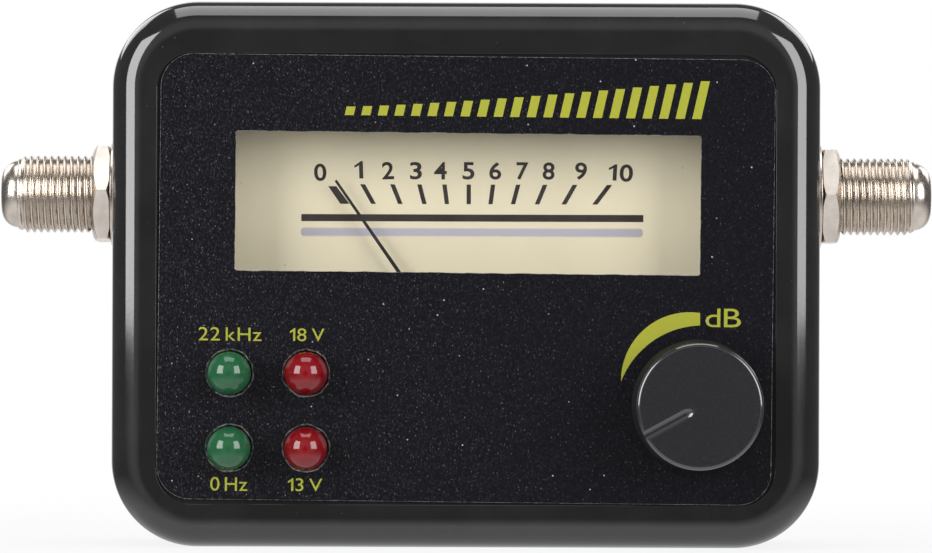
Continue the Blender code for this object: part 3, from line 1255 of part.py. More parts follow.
def connector_nut(name, side, facing, bore):
    """Make the hex nut: a hexagon trimmed by a chamfered disc, with one corner to the front."""
    foot = 2 * RUNNING_GAP + PORT_WASHER_SHEET
    corner = PORT_NUT_ACROSS / 2 / math.cos(math.pi / 6)
    bm = bmesh.new()
    turn = Matrix.Rotation(math.radians(PORT_NUT_TURN_DEG), 4, "Z")
    lift = Matrix.Translation((0, 0, PORT_NUT_HEIGHT / 2))
    bmesh.ops.create_cone(
        bm, cap_ends=True, segments=6, radius1=corner, radius2=corner, depth=PORT_NUT_HEIGHT,
        matrix=lift @ turn,
    )
    place = port_place(side, foot)
    nut = from_bmesh(f"connector_nut_{name}", bm, NICKEL, place, facing)
    rim = corner - 2 * PORT_NUT_CHAMFER
    outer = corner + 2 * PORT_NUT_CHAMFER
    drop = 2 * PORT_NUT_CHAMFER
    disc = [
        (0, PORT_NUT_HEIGHT), (rim, PORT_NUT_HEIGHT), (outer, PORT_NUT_HEIGHT - drop),
        (outer, drop), (rim, 0), (0, 0),
    ]
    boolean(nut, turned(f"{nut.name}_disc", disc, None, place, facing), "INTERSECT")
    top = PORT_NUT_HEIGHT + OVERRUN
    hole = [(0, top), (bore, top), (bore, -OVERRUN), (0, -OVERRUN)]
    boolean(nut, turned(f"{nut.name}_bore", hole, None, place, facing, HOLE_STEPS))


# Wires
def meter_wires():
    """Make the two insulated wires from the meter base to the board."""
    start = BASE_BACK + SEAT
    end = BOARD_FRONT - SEAT
    first = CUP_RIGHT + WIRE_GAP
    low = CENTRE_Z - WIRE_DROP
    for name, colour, x in (("red", RED_WIRE, first), ("black", BLACK_WIRE, first + WIRE_PITCH)):
        curve = bpy.data.curves.new(f"meter_wire_{name}", "CURVE")
        curve.dimensions = "3D"
        curve.bevel_depth = WIRE_RADIUS
        curve.bevel_resolution = 2
        curve.use_fill_caps = True
        spline = curve.splines.new("POLY")
        spline.points.add(WIRE_POINTS - 1)
        for i, point in enumerate(spline.points):
            share = i / (WIRE_POINTS - 1)
            ease = share * share * (3 - 2 * share)
            sway = WIRE_SWAY * math.sin(2 * math.pi * share) * math.sin(math.pi * share)
            place = at(x + sway, start + (end - start) * share, low + WIRE_RISE * ease)
            point.co = (*place, 1)
        link(bpy.data.objects.new(curve.name, curve), colour, (0, 0, 0))


# Assembly
front_shell()
rear_shell()
case_screws()
front_label()
lamps()
knob_pivot = knob_axis()
knob(knob_pivot)
potentiometer(knob_pivot)
meter_cover()
meter_base()
meter_screws()
dial_plate()
dial_screws()
magnet_and_yoke()
bridges()
needle_pivot = needle_axis()
moving_coil(needle_pivot)
pivots(needle_pivot)
needle(needle_pivot)
hairsprings()
circuit_board()
board_screws()
buzzer()
capacitor()
chip()
shield_can()
for side_name, side_sign in SIDES.items():
    connector(side_name, side_sign)
meter_wires()
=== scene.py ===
"""Satellite signal meter: the looks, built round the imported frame.

The camera looks along +Y at the label, +X is to the right and +Z is up. All lengths are in metres.
Depths are measured from the front rim of the case towards the back.
"""
import json
import math

import bmesh
import bpy
from mathutils import Matrix, Vector, noise


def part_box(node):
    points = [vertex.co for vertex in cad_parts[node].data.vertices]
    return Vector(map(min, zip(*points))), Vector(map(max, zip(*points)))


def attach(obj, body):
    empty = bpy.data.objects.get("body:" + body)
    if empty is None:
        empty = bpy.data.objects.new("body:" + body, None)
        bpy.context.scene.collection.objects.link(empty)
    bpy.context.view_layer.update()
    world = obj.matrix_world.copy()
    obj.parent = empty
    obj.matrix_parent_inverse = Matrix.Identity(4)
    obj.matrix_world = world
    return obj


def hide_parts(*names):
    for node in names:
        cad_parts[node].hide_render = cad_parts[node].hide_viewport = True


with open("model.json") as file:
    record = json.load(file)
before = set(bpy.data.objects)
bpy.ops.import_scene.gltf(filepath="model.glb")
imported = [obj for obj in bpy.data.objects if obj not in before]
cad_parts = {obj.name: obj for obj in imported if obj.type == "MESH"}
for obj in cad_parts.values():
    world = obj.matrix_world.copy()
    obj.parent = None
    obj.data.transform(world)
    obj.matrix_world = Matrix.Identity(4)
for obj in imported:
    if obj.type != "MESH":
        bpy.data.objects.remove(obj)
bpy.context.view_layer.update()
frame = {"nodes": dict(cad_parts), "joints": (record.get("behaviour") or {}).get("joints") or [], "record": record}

MM = 0.001
QUARTER = math.pi / 2
OVERRUN = 1.0 * MM
WELD = 0.001 * MM
FINE_EDGE = 0.05 * MM
CUT = "DIFFERENCE"
JOIN = "UNION"
KEEP = "INTERSECT"


def middle(node):
    """Give the middle of a node's box."""
    low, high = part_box(node)
    return (low + high) / 2


# What the frame gives
CASE_LOW, CASE_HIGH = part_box("rear_shell")
RIM_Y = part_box("front_shell")[0].y
SPLIT_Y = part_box("front_shell")[1].y
CASE_WIDTH = CASE_HIGH.x - CASE_LOW.x
CASE_HEIGHT = CASE_HIGH.z - CASE_LOW.z
CENTRE_Z = (CASE_HIGH.z + CASE_LOW.z) / 2
LABEL_LOW, LABEL_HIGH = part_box("front_label")
DIAL_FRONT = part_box("dial_plate")[0].y
KNOB_LOW, KNOB_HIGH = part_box("knob")
JOINT_PLACES = {joint["name"]: Vector(joint["pos_m"]) for joint in frame["joints"]}
KNOB_AXIS = JOINT_PLACES["knob_turn"]
NEEDLE_AXIS = JOINT_PLACES["needle_swing"]
LAMPS = ("led_green_upper", "led_green_lower", "led_red_upper", "led_red_lower")
SCREWS = ("case_screw_1", "case_screw_2", "case_screw_3", "case_screw_4")

# Case
CASE_CORNER = 10.0 * MM
CORNER_STEPS = 24
FRONT_ROUND = 3.6 * MM
FRONT_ROUND_STEPS = 12
REAR_ROUND = 2.0 * MM
REAR_ROUND_STEPS = 8
WALL = 2.0 * MM
SEAM_ROUND = 0.12 * MM
RECESS_DEPTH = 0.5 * MM
RECESS_CORNER = 4.2 * MM
RIM_SIDE = 5.3 * MM
RIM_TOP = 6.05 * MM
RIM_BASE = 5.05 * MM
LIP_THICKNESS = 0.8 * MM
LIP_HEIGHT = 1.2 * MM
SEAT = 0.2 * MM

# Label
LABEL_SIDE_GAP = 0.3 * MM
LABEL_EDGE_GAP = 0.35 * MM
LABEL_THICKNESS = 0.35 * MM
LABEL_TWIST = math.radians(0.46)
LABEL_CUT_EDGE = 0.06 * MM
# How far forward a face of the label looks where its sides end, and where its front starts
LABEL_SIDE_LIMIT = 0.2
LABEL_FACE_LIMIT = 0.98
LAMP_HOLE_RADIUS = 2.8 * MM
LABEL_HOLE_RADIUS = 2.78 * MM
LABEL_HOLE_SLOPE = 0.45
SHAFT_HOLE_RADIUS = 3.8 * MM
HOLE_RAGGED = 0.12 * MM
RAGGED_SEED = 7.3

# Window
WINDOW_WIDTH = 54.0 * MM
WINDOW_HEIGHT = 16.2 * MM
WINDOW_Z = 40.1 * MM
WINDOW_X = 0.2 * MM
WINDOW_MARGIN = 1.0 * MM
WINDOW_CORNER = 0.3 * MM
WINDOW_WAVE = 0.07 * MM


# Building helpers
def slab(width, height, depth, corner=0.0, corner_steps=8, front=0.0, rear=0.0, steps=4):
    """Make an upright slab whose front face is centred on its origin and whose body runs back."""
    bm = bmesh.new()
    bmesh.ops.create_cube(bm, size=1)
    bmesh.ops.translate(bm, vec=(0, 0.5, 0), verts=bm.verts)
    bmesh.ops.scale(bm, vec=(width, depth, height), verts=bm.verts)
    if corner:
        round_edges(bm, corner, corner_steps, lambda a, b: abs(a.y - b.y) > depth / 2)
    if front:
        round_edges(bm, front, steps, lambda a, b: max(a.y, b.y) < WELD)
    if rear:
        round_edges(bm, rear, steps, lambda a, b: min(a.y, b.y) > depth - WELD)
    return bm


def round_edges(bm, radius, steps, wanted):
    """Round the edges that the test picks out."""
    edges = [edge for edge in bm.edges if wanted(edge.verts[0].co, edge.verts[1].co)]
    bmesh.ops.bevel(
        bm, geom=edges, offset=radius, segments=steps, profile=0.5, affect="EDGES", clamp_overlap=False
    )


def prism(outline, start, end):
    """Make a closed prism from an outline of (x, z) points, from one y to another."""
    bm = bmesh.new()
    front = [bm.verts.new((x, start, z)) for x, z in outline]
    back = [bm.verts.new((x, end, z)) for x, z in outline]
    count = len(outline)
    bm.faces.new(front)
    bm.faces.new(list(reversed(back)))
    for i in range(count):
        j = (i + 1) % count
        bm.faces.new((front[i], back[i], back[j], front[j]))
    bmesh.ops.recalc_face_normals(bm, faces=bm.faces)
    return bm


def rectangle(left, right, low, high):
    """Give the outline of a rectangle."""
    return [(left, low), (right, low), (right, high), (left, high)]


def circle(centre, radius, steps=48, wave=0.0, seed=0.0):
    """Give the outline of a hole, cut a little unevenly where a wave is given."""
    points = []
    for i in range(steps):
        angle = 2 * math.pi * (i + 0.5) / steps
        spot = Vector((math.cos(angle) * 3, math.sin(angle) * 3, seed))
        reach = radius + wave * noise.noise(spot)
        points.append((centre.x + reach * math.cos(angle), centre.z + reach * math.sin(angle)))
    return points


def flared(front, back, start, end):
    """Make a closed tool between two outlines with as many points, from one y to another."""
    bm = prism(front, start, end)
    count = len(front)
    bm.verts.ensure_lookup_table()
    for i, (x, z) in enumerate(back):
        bm.verts[count + i].co = (x, end, z)
    return bm


def moved(bm, place, turn=0.0):
    """Move a mesh to a place, turned about the y axis."""
    return changed(bm, Matrix.Translation(place) @ Matrix.Rotation(turn, 4, "Y"))


def faced(bm, place, facing):
    """Turn a mesh that stands along z to face a direction, and move it to its place."""
    turn = Vector(facing).to_track_quat("Z", "Y").to_matrix().to_4x4()
    return changed(bm, Matrix.Translation(place) @ turn)


def changed(bm, matrix):
    """Move a whole mesh by a matrix."""
    bmesh.ops.transform(bm, matrix=matrix, verts=bm.verts)
    return bm


def placed(name, data):
    """Put a mesh, a letter, a light or a camera into the scene as an object."""
    obj = bpy.data.objects.new(name, data)
    bpy.context.scene.collection.objects.link(obj)
    return obj


def loose(bm, name):
    """Put a mesh into an object of its own."""
    mesh = bpy.data.meshes.new(name)
    bmesh.ops.recalc_face_normals(bm, faces=bm.faces)
    bm.to_mesh(mesh)
    bm.free()
    return placed(name, mesh)


def taken(obj, *tools):
    """Read the finished mesh of an object, and delete the object with the tools it was made with."""
    graph = bpy.context.evaluated_depsgraph_get()
    mesh = bpy.data.meshes.new_from_object(obj.evaluated_get(graph))
    bm = bmesh.new()
    bm.from_mesh(mesh)
    for done in (obj, *tools):
        bpy.data.objects.remove(done, do_unlink=True)
    bpy.data.meshes.remove(mesh)
    return bm


def carved(bm, steps):
    """Cut tools from a mesh, or join them to it, one after the other."""
    base = loose(bm, "carved")
    tools = []
    for operation, tool_mesh in steps:
        tool = loose(tool_mesh, "tool")
        modifier = base.modifiers.new("Carve", "BOOLEAN")
        modifier.operation = operation
        modifier.solver = "EXACT"
        modifier.object = tool
        tools.append(tool)
    result = taken(base, *tools)
    bmesh.ops.dissolve_degenerate(result, dist=WELD, edges=result.edges)
    return result


def gathered(parts):
    """Put several meshes into one."""
    whole = bmesh.new()
    for part in parts:
        mesh = bpy.data.meshes.new("part")
        part.to_mesh(mesh)
        part.free()
        whole.from_mesh(mesh)
        bpy.data.meshes.remove(mesh)
    return whole


def revolved(profile, steps=64):
    """Turn a closed profile of (radius, height) points round the z axis."""
    bm = bmesh.new()
    rows = []
    for radius, height in profile:
        if radius < WELD:
            rows.append([bm.verts.new((0, 0, height))])
            continue
        row = []
        for i in range(steps):
            angle = 2 * math.pi * i / steps
            row.append(bm.verts.new((radius * math.cos(angle), radius * math.sin(angle), height)))
        rows.append(row)
    return closed(bm, rows, steps)


def tube(inner, outer, low, high, steps):
    """Make a ring between two radii and two heights, or a rod where the inner radius is none."""
    return revolved([(inner, low), (outer, low), (outer, high), (inner, high)], steps)


def closed(bm, rows, steps):
    """Join rows of points into a solid, each row to the next and the last one to the first."""
    for near, far in zip(rows, rows[1:] + rows[:1]):
        stitch(bm, near, far, steps)
    bmesh.ops.recalc_face_normals(bm, faces=bm.faces)
    return bm


def stitch(bm, near, far, steps):
    """Join two rings, or a ring and a point, with faces."""
    if len(near) == len(far) == 1:
        return
    for i in range(steps):
        j = (i + 1) % steps
        if len(near) == 1:
            bm.faces.new((near[0], far[j], far[i]))
        elif len(far) == 1:
            bm.faces.new((near[i], near[j], far[0]))
        else:
            bm.faces.new((near[i], near[j], far[j], far[i]))


def arc(radius, height, bend, start_deg, end_deg, steps):
    """Give the points of an arc in a profile."""
    angles = [math.radians(start_deg + (end_deg - start_deg) * i / steps) for i in range(steps + 1)]
    return [(radius + bend * math.cos(a), height + bend * math.sin(a)) for a in angles]


def piece(
    name, bm, slot, nodes=(), edge=0.0, materials=(), body="case", steps=2, edge_material=-1, sharp=35.0
):
    """Make a piece of the part: smooth sides, softened edges and its body; the nodes it stands for are hidden.

    It has the material of its slot unless others are given.
    """
    obj = loose(bm, name)
    for material in materials or [SLOT_MATERIALS[slot]]:
        obj.data.materials.append(material)
    obj.data.shade_smooth()
    obj.data.set_sharp_from_angle(angle=math.radians(sharp))
    if edge:
        bevel = obj.modifiers.new("Edges", "BEVEL")
        bevel.width = edge
        bevel.segments = steps
        bevel.limit_method = "ANGLE"
        bevel.angle_limit = math.radians(sharp)
        bevel.harden_normals = True
        bevel.material = edge_material
    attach(obj, body)
    if nodes:
        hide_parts(*nodes)


# Materials
class Nodes:
    """The shader nodes of a material or a world."""

    def __init__(self, owner):
        owner.use_nodes = True
        self.tree = owner.node_tree

    def add(self, kind, inputs=None, **settings):
        """Add a node with its settings, and feed its inputs."""
        node = self.tree.nodes.new(kind)
        for setting, value in settings.items():
            setattr(node, setting, value)
        for socket, value in (inputs or {}).items():
            self.join(value, node.inputs[socket])
        return node

    def join(self, source, target):
        """Link a value, or set a constant; a colour has three numbers."""
        if isinstance(source, bpy.types.NodeSocket):
            self.tree.links.new(source, target)
        else:
            target.default_value = (*source, 1.0) if target.type == "RGBA" else source

    def span(self, value, low, high, start=0.0, end=1.0):
        """Map a value from one range to another."""
        inputs = {"Value": value, "From Min": low, "From Max": high, "To Min": start, "To Max": end}
        return self.add("ShaderNodeMapRange", inputs).outputs["Result"]

    def maths(self, operation, first, second=0.0):
        """Combine two values."""
        return self.add("ShaderNodeMath", {0: first, 1: second}, operation=operation).outputs[0]

    def times(self, first, second):
        """Multiply two values."""
        return self.maths("MULTIPLY", first, second)

    def blend(self, share, first, second):
        """Mix two values."""
        return self.add("ShaderNodeMix", {0: share, 2: first, 3: second}).outputs[0]

    def parts(self, vector):
        """Give the x, y and z of a vector by name."""
        return self.add("ShaderNodeSeparateXYZ", {0: vector}).outputs

    def rays(self):
        """Give 1 for rays that look straight at a surface, and 1 for rays that come by reflection."""
        path = self.add("ShaderNodeLightPath").outputs
        direct = self.maths("MAXIMUM", path["Is Camera Ray"], path["Is Transmission Ray"])
        return direct, path["Is Glossy Ray"]


class Finish(Nodes):
    """A Principled material, with its textures given in real sizes."""

    def __init__(self, name, colour, roughness, metallic=0.0, **sockets):
        self.material = bpy.data.materials.new(name)
        super().__init__(self.material)
        self.shader = self.tree.nodes["Principled BSDF"]
        sockets |= {"Base_Color": colour, "Roughness": roughness, "Metallic": metallic}
        for socket, value in sockets.items():
            self.join(value, self.shader.inputs[socket.replace("_", " ")])
        self.place = self.add("ShaderNodeTexCoord").outputs["Object"]

    def stretched(self, x, y, z):
        """Give the object's place, stretched along the axes."""
        return self.add("ShaderNodeMapping", {"Vector": self.place, "Scale": (x, y, z)}).outputs["Vector"]

    def cloud(self, size, detail=3.0, rough=0.55, place=None, distortion=0.0):
        """Give soft noise with features of a size."""
        inputs = {
            "Vector": place or self.place, "Scale": 1 / size, "Detail": detail, "Roughness": rough,
            "Distortion": distortion,
        }
        return self.add("ShaderNodeTexNoise", inputs).outputs["Fac"]

    def cells(self, size, feature="F1", place=None):
        """Give the distance to scattered points a size apart."""
        inputs = {"Vector": place or self.place, "Scale": 1 / size}
        return self.add("ShaderNodeTexVoronoi", inputs, feature=feature).outputs["Distance"]

    def mixed(self, share, first, second):
        """Mix two colours."""
        return self.add("ShaderNodeMix", {0: share, 6: first, 7: second}, data_type="RGBA").outputs[2]

    def bump(self, height, depth):
        """Raise a surface by a height map of a depth."""
        return self.add("ShaderNodeBump", {"Distance": depth, "Height": height}).outputs["Normal"]

    def use(self, colour=None, roughness=None, normal=None):
        """Link what was made to the shader, and give the material."""
        for source, socket in ((colour, "Base Color"), (roughness, "Roughness"), (normal, "Normal")):
            if source is not None:
                self.join(source, self.shader.inputs[socket])
        return self.material


def shade(colour, share):
    """Give a colour made lighter or darker by a share."""
    return tuple(channel * share for channel in colour)


def moulded_black(name, colour, roughness, **sockets):
    """Moulded black plastic with handling haze and a little dust."""
    paint = Finish(name, colour, roughness, Coat_Roughness=0.06, IOR=1.6, Coat_IOR=1.6, **sockets)
    smear = paint.span(paint.cloud(7 * MM, 4.0, 0.6), 0.4, 0.75)
    fine = paint.cloud(0.5 * MM, 4.0, 0.6)
    dust = paint.span(paint.cells(1.1 * MM), 0.03, 0.07, 1.0, 0.0)
    grey = tuple(channel * 1.7 + 0.004 for channel in colour)
    mottled = paint.mixed(paint.times(smear, fine), colour, grey)
    dusty = paint.mixed(paint.times(dust, paint.span(fine, 0.5, 0.7, 0.0, 0.5)), mottled, (0.3, 0.3, 0.3))
    # A film of dust dulls the faces that look straight up.
    facing = paint.parts(paint.add("ShaderNodeNewGeometry").outputs["Normal"])
    film = paint.span(facing["Z"], 0.985, 0.999)
    paint.join(paint.span(film, 0.0, 1.0, 1.0, 0.12), paint.shader.inputs["Coat Weight"])
    hazy = paint.maths("ADD", paint.times(smear, 0.05), roughness)
    spread = paint.maths("ADD", hazy, paint.times(film, 0.45))
    return paint.use(dusty, spread, paint.bump(fine, 0.004 * MM))


def scuffed_black(name, colour, roughness):
    """Satin black plastic with faint scratches, as on a face that fingers touch."""
    paint = Finish(name, colour, roughness, IOR=1.5)
    fine = paint.cloud(0.35 * MM, 4.0, 0.6)
    scratch = paint.cloud(0.9 * MM, 2.0, 0.5, paint.stretched(0.18, 1, 1.6), 1.2)
    line = paint.span(paint.maths("ABSOLUTE", paint.maths("SUBTRACT", scratch, 0.5)), 0.0, 0.006, 1.0, 0.0)
    patch = paint.span(paint.cloud(4 * MM, 2.0), 0.5, 0.62)
    worn = paint.times(paint.times(line, patch), 0.7)
    toned = paint.mixed(worn, paint.mixed(fine, colour, shade(colour, 1.15)), shade(colour, 2.2))
    spread = paint.span(fine, 0.3, 0.7, roughness, roughness + 0.06)
    return paint.use(toned, spread, paint.bump(fine, 0.002 * MM))


def label_print(name, colour, dim, glint):
    """The pebbled plastic sheet of the front label, or the ink that lies on its grain, with painted glints on its
    pebbles that grow towards the left, where the light falls.
    """
    paint = Finish(name, colour, 0.22)
    pebbles = paint.cells(0.24 * MM, "SMOOTH_F1")
    grain = paint.cloud(0.13 * MM, 2.0, 0.6)
    # This share grows towards the left, where the light falls.
    across = paint.span(paint.parts(paint.place)["X"], -36 * MM, 28 * MM, 1.0, 0.35)
    slim = paint.stretched(1.0, 1.0, 0.62)
    fine = paint.span(paint.cloud(0.2 * MM, 2.0, 0.7, slim), 0.50, 0.68)
    tip = paint.span(paint.cells(0.30 * MM, place=slim), 0.10, 0.28, 1.0, 0.0)
    lit = paint.span(paint.cloud(0.28 * MM, 1.0), 0.48, 0.72)
    # Painted glints on the tips of the pebbles, more of them towards the left.
    painted_glints = paint.times(paint.times(tip, lit), across)
    spots = paint.maths("GREATER_THAN", 0.05, paint.cells(1.9 * MM))
    chosen = paint.maths("GREATER_THAN", paint.cloud(3.1 * MM, 2.0), 0.5)
    # Towards the left the mottle leans to its second tone, which on the black sheet is painted light.
    mottled = paint.mixed(paint.times(fine, across), colour, dim)
    glinting = paint.mixed(painted_glints, mottled, glint)
    dusted = paint.mixed(paint.times(spots, chosen), glinting, (0.35, 0.35, 0.36))
    height = paint.times(paint.maths("ADD", pebbles, grain), across)
    return paint.use(dusted, paint.span(pebbles, 0.0, 0.8, 0.18, 0.28), paint.bump(height, 0.012 * MM))


def cut_edge():
    """The whitish cut edge of the label, bright in places: its own whitening, with painted highlights in the
    bright patches.
    """
    paint = Finish("label_cut_edge", (0.05, 0.05, 0.05), 0.5)
    # Bright patches: the edge's own whitening, with painted highlights.
    broken = paint.span(paint.cloud(0.5 * MM, 4.0, 0.75), 0.42, 0.60)
    return paint.use(paint.mixed(broken, (0.06, 0.06, 0.064), (0.60, 0.59, 0.57)))


def lens(name, colour, rim_tone):
    """Tinted cast resin whose colour changes towards its rim as painted light and shade: lighter on the green
    lens, darker on the red.
    """
    paint = Finish(name, colour, 0.08, Coat_Weight=0.3, Coat_Roughness=0.02)
    facing = paint.add("ShaderNodeLayerWeight", {"Blend": 0.35}).outputs["Facing"]
    speck = paint.cloud(0.4 * MM)
    # Painted light and shade towards the rim: the rim tone is lighter than the middle on the green lens and darker
    # on the red.
    toned = paint.mixed(facing, colour, rim_tone)
    warm = paint.mixed(paint.span(speck, 0.45, 0.8, 0.0, 0.25), toned, shade(colour, 1.3))
    return paint.use(warm, paint.span(speck, 0.3, 0.7, 0.05, 0.11))


def metal(name, colour, roughness, spread, pit=0.006 * MM, size=0.35 * MM):
    """Plated or turned metal with fine pits and a duller bloom."""
    paint = Finish(name, colour, roughness, 1.0)
    bloom = paint.cloud(size * 6, 4.0, 0.6)
    fine = paint.cloud(size, 3.0, 0.65)
    toned = paint.mixed(paint.span(bloom, 0.35, 0.75), colour, shade(colour, 0.72))
    return paint.use(toned, paint.span(fine, 0.3, 0.75, roughness, roughness + spread), paint.bump(fine, pit))


def plain(name, colour, roughness, **sockets):
    """Moulded or dipped plastic, or paint, with a faint mottle and grain."""
    paint = Finish(name, colour, roughness, **sockets)
    mottle = paint.cloud(0.6 * MM, 4.0, 0.6)
    toned = paint.mixed(paint.span(mottle, 0.3, 0.75, 0.0, 0.5), colour, shade(colour, 0.78))
    spread = paint.span(mottle, 0.3, 0.7, roughness, roughness + 0.1)
    return paint.use(toned, spread, paint.bump(mottle, 0.005 * MM))


def dial_paint(colour):
    """Cream lacquer on the dial plate, with painted light that makes it lighter towards its ends, and a few dust
    specks.
    """
    paint = Finish("dial_cream", colour, 0.55)
    blush = paint.cloud(16 * MM, 2.0)
    specks = paint.maths("GREATER_THAN", 0.022, paint.cells(3.2 * MM))
    toned = paint.mixed(paint.span(blush, 0.3, 0.7), colour, shade(colour, 0.94))
    # Painted light: the lacquer is lighter towards the dial's ends, where the window's walls shade it.
    ends = paint.span(paint.maths("ABSOLUTE", paint.parts(paint.place)["X"]), 12 * MM, 27 * MM)
    painted_light_ends = paint.mixed(ends, toned, shade(colour, 1.2))
    dusty = paint.mixed(specks, painted_light_ends, (0.12, 0.10, 0.08))
    return paint.use(dusty, None, paint.bump(paint.cloud(0.2 * MM), 0.002 * MM))


def soft_band(name, colour, under, height, half):
    """A pale printed band whose upper and lower edges fade into what lies under it."""
    paint = Finish(name, colour, 0.6)
    off = paint.maths("ABSOLUTE", paint.maths("SUBTRACT", paint.parts(paint.place)["Z"], height))
    blotch = paint.cloud(1.2 * MM)
    fade = paint.span(paint.maths("ADD", off, paint.times(blotch, 0.1 * MM)), half * 0.72, half * 1.1)
    return paint.use(paint.mixed(fade, colour, under), paint.span(blotch, 0.3, 0.7, 0.55, 0.65))


def board():
    """Green board laminate with the faint lines of its copper under the mask."""
    paint = Finish("board_green", (0.015, 0.11, 0.045), 0.35)
    tracks = paint.add("ShaderNodeTexBrick", {"Vector": paint.place, "Scale": 1 / (9 * MM)}, offset=0.3)
    weave = paint.cloud(0.8 * MM)
    toned = paint.mixed(tracks.outputs["Fac"], (0.014, 0.10, 0.04), (0.03, 0.17, 0.07))
    return paint.use(toned, paint.span(weave, 0.3, 0.7, 0.3, 0.42), paint.bump(weave, 0.01 * MM))


def clear_plastic():
    """Clear moulded plastic that lets light through, with a soft reflection at its edges."""
    paint = Finish("clear_pane", (0.95, 0.96, 0.95), 0.08)
    haze = paint.cloud(3 * MM)
    paint.join(paint.span(haze, 0.3, 0.8, 0.006, 0.018), paint.shader.inputs["Alpha"])
    return paint.use(None, paint.span(haze, 0.3, 0.7, 0.05, 0.12))


DIAL_COLOUR = (0.715, 0.643, 0.455)
KNOB_FACE = scuffed_black("knob_face", (0.015, 0.015, 0.0165), 0.24)
KNOB_RIM = moulded_black("knob_rim", (0.016, 0.016, 0.018), 0.10)
KNOB_SKIRT = plain("knob_skirt", (0.013, 0.013, 0.015), 0.5, Specular_IOR_Level=0.15)
# The last colour of each print is its painted glint; on the black sheet the second colour is painted light towards
# the left.
LABEL_BLACK = label_print(
    "label_black", (0.0038, 0.0036, 0.0062), (0.022, 0.021, 0.026), (0.20, 0.20, 0.21)
)
LABEL_INK = label_print("label_ink", (0.34, 0.35, 0.036), (0.32, 0.33, 0.05), (0.42, 0.42, 0.10))
LABEL_CUT = cut_edge()
# The same nickel plate as the connector bodies, painted lighter on the nut as painted light on its flats.
NUT_NICKEL = metal("nut_nickel", (0.93, 0.845, 0.765), 0.27, 0.12, 0.0025 * MM, 0.5 * MM)
DIAL_INK = plain("dial_ink", (0.022, 0.016, 0.014), 0.6, Specular_IOR_Level=0.1)

SLOT_MATERIALS = {
    "case_plastic": moulded_black("case_black", (0.0112, 0.0112, 0.0120), 0.07, Specular_IOR_Level=0.2),
    "label_sheet": LABEL_BLACK,
    "knob_plastic": KNOB_SKIRT,
    "dark_plastic": plain("dark_moulding", (0.020, 0.020, 0.021), 0.45),
    "white_plastic": plain("white_moulding", (0.72, 0.70, 0.66), 0.4),
    "clear_plastic": clear_plastic(),
    # The second colour of each lens is its painted rim tone.
    "green_lens": lens("lens_green", (0.012, 0.088, 0.034), (0.018, 0.115, 0.046)),
    "red_lens": lens("lens_red", (0.185, 0.0025, 0.006), (0.135, 0.0025, 0.005)),
    "dial_sheet": dial_paint(DIAL_COLOUR),
    "needle_sheet": plain("needle_brown", (0.010, 0.0065, 0.0045), 0.45, Specular_IOR_Level=0.15),
    "coil_winding": metal("copper_winding", (0.62, 0.26, 0.13), 0.35, 0.2),
    "nickel": metal("nickel_plate", (0.78, 0.70, 0.62), 0.18, 0.16, 0.004 * MM),
    "brass": metal("brass_strip", (0.68, 0.50, 0.21), 0.25, 0.2),
    "screw_steel": metal("screw_steel", (0.52, 0.52, 0.53), 0.28, 0.2),
    "tinplate": metal("tinplate", (0.62, 0.62, 0.60), 0.3, 0.25, size=0.8 * MM),
    "board_laminate": board(),
    "red_insulation": plain("red_insulation", (0.40, 0.02, 0.02), 0.45),
    "black_insulation": plain("black_insulation", (0.02, 0.02, 0.02), 0.45),
}


def dress_frame():
    """Give every CAD node the material of its slot."""
    for row in frame["record"]["subparts"]:
        node = frame["nodes"][row["node"]]
        node.data.materials.clear()
        node.data.materials.append(SLOT_MATERIALS[row["material_slot"]])


# Case shells
PORT_AXIS = middle("connector_body_left")
PORT_HOLE_RADIUS = 4.825 * MM
SINK_RADIUS = 2.8 * MM
SINK_DEPTH = 3.5 * MM
BOSS_RADIUS = 3.6 * MM
PILOT_RADIUS = 1.5 * MM


def port_hole():
    """Make the cutter for both round holes that hold the connectors."""
    rod = tube(0, PORT_HOLE_RADIUS, -CASE_WIDTH, CASE_WIDTH, 72)
    return faced(rod, (0, PORT_AXIS.y, PORT_AXIS.z), (1, 0, 0))


def case_hollow(start, end, inset):
    """Make the hollow of a shell between two depths."""
    corner = CASE_CORNER - inset
    bm = slab(CASE_WIDTH - 2 * inset, CASE_HEIGHT - 2 * inset, end - start, corner, 12)
    return moved(bm, (0, start, CENTRE_Z))


def boss_rods(radius, start, end):
    """Make the four round rods of the case's screw bosses between two depths."""
    return gathered(prism(circle(middle(screw), radius, 32), start, end) for screw in SCREWS)


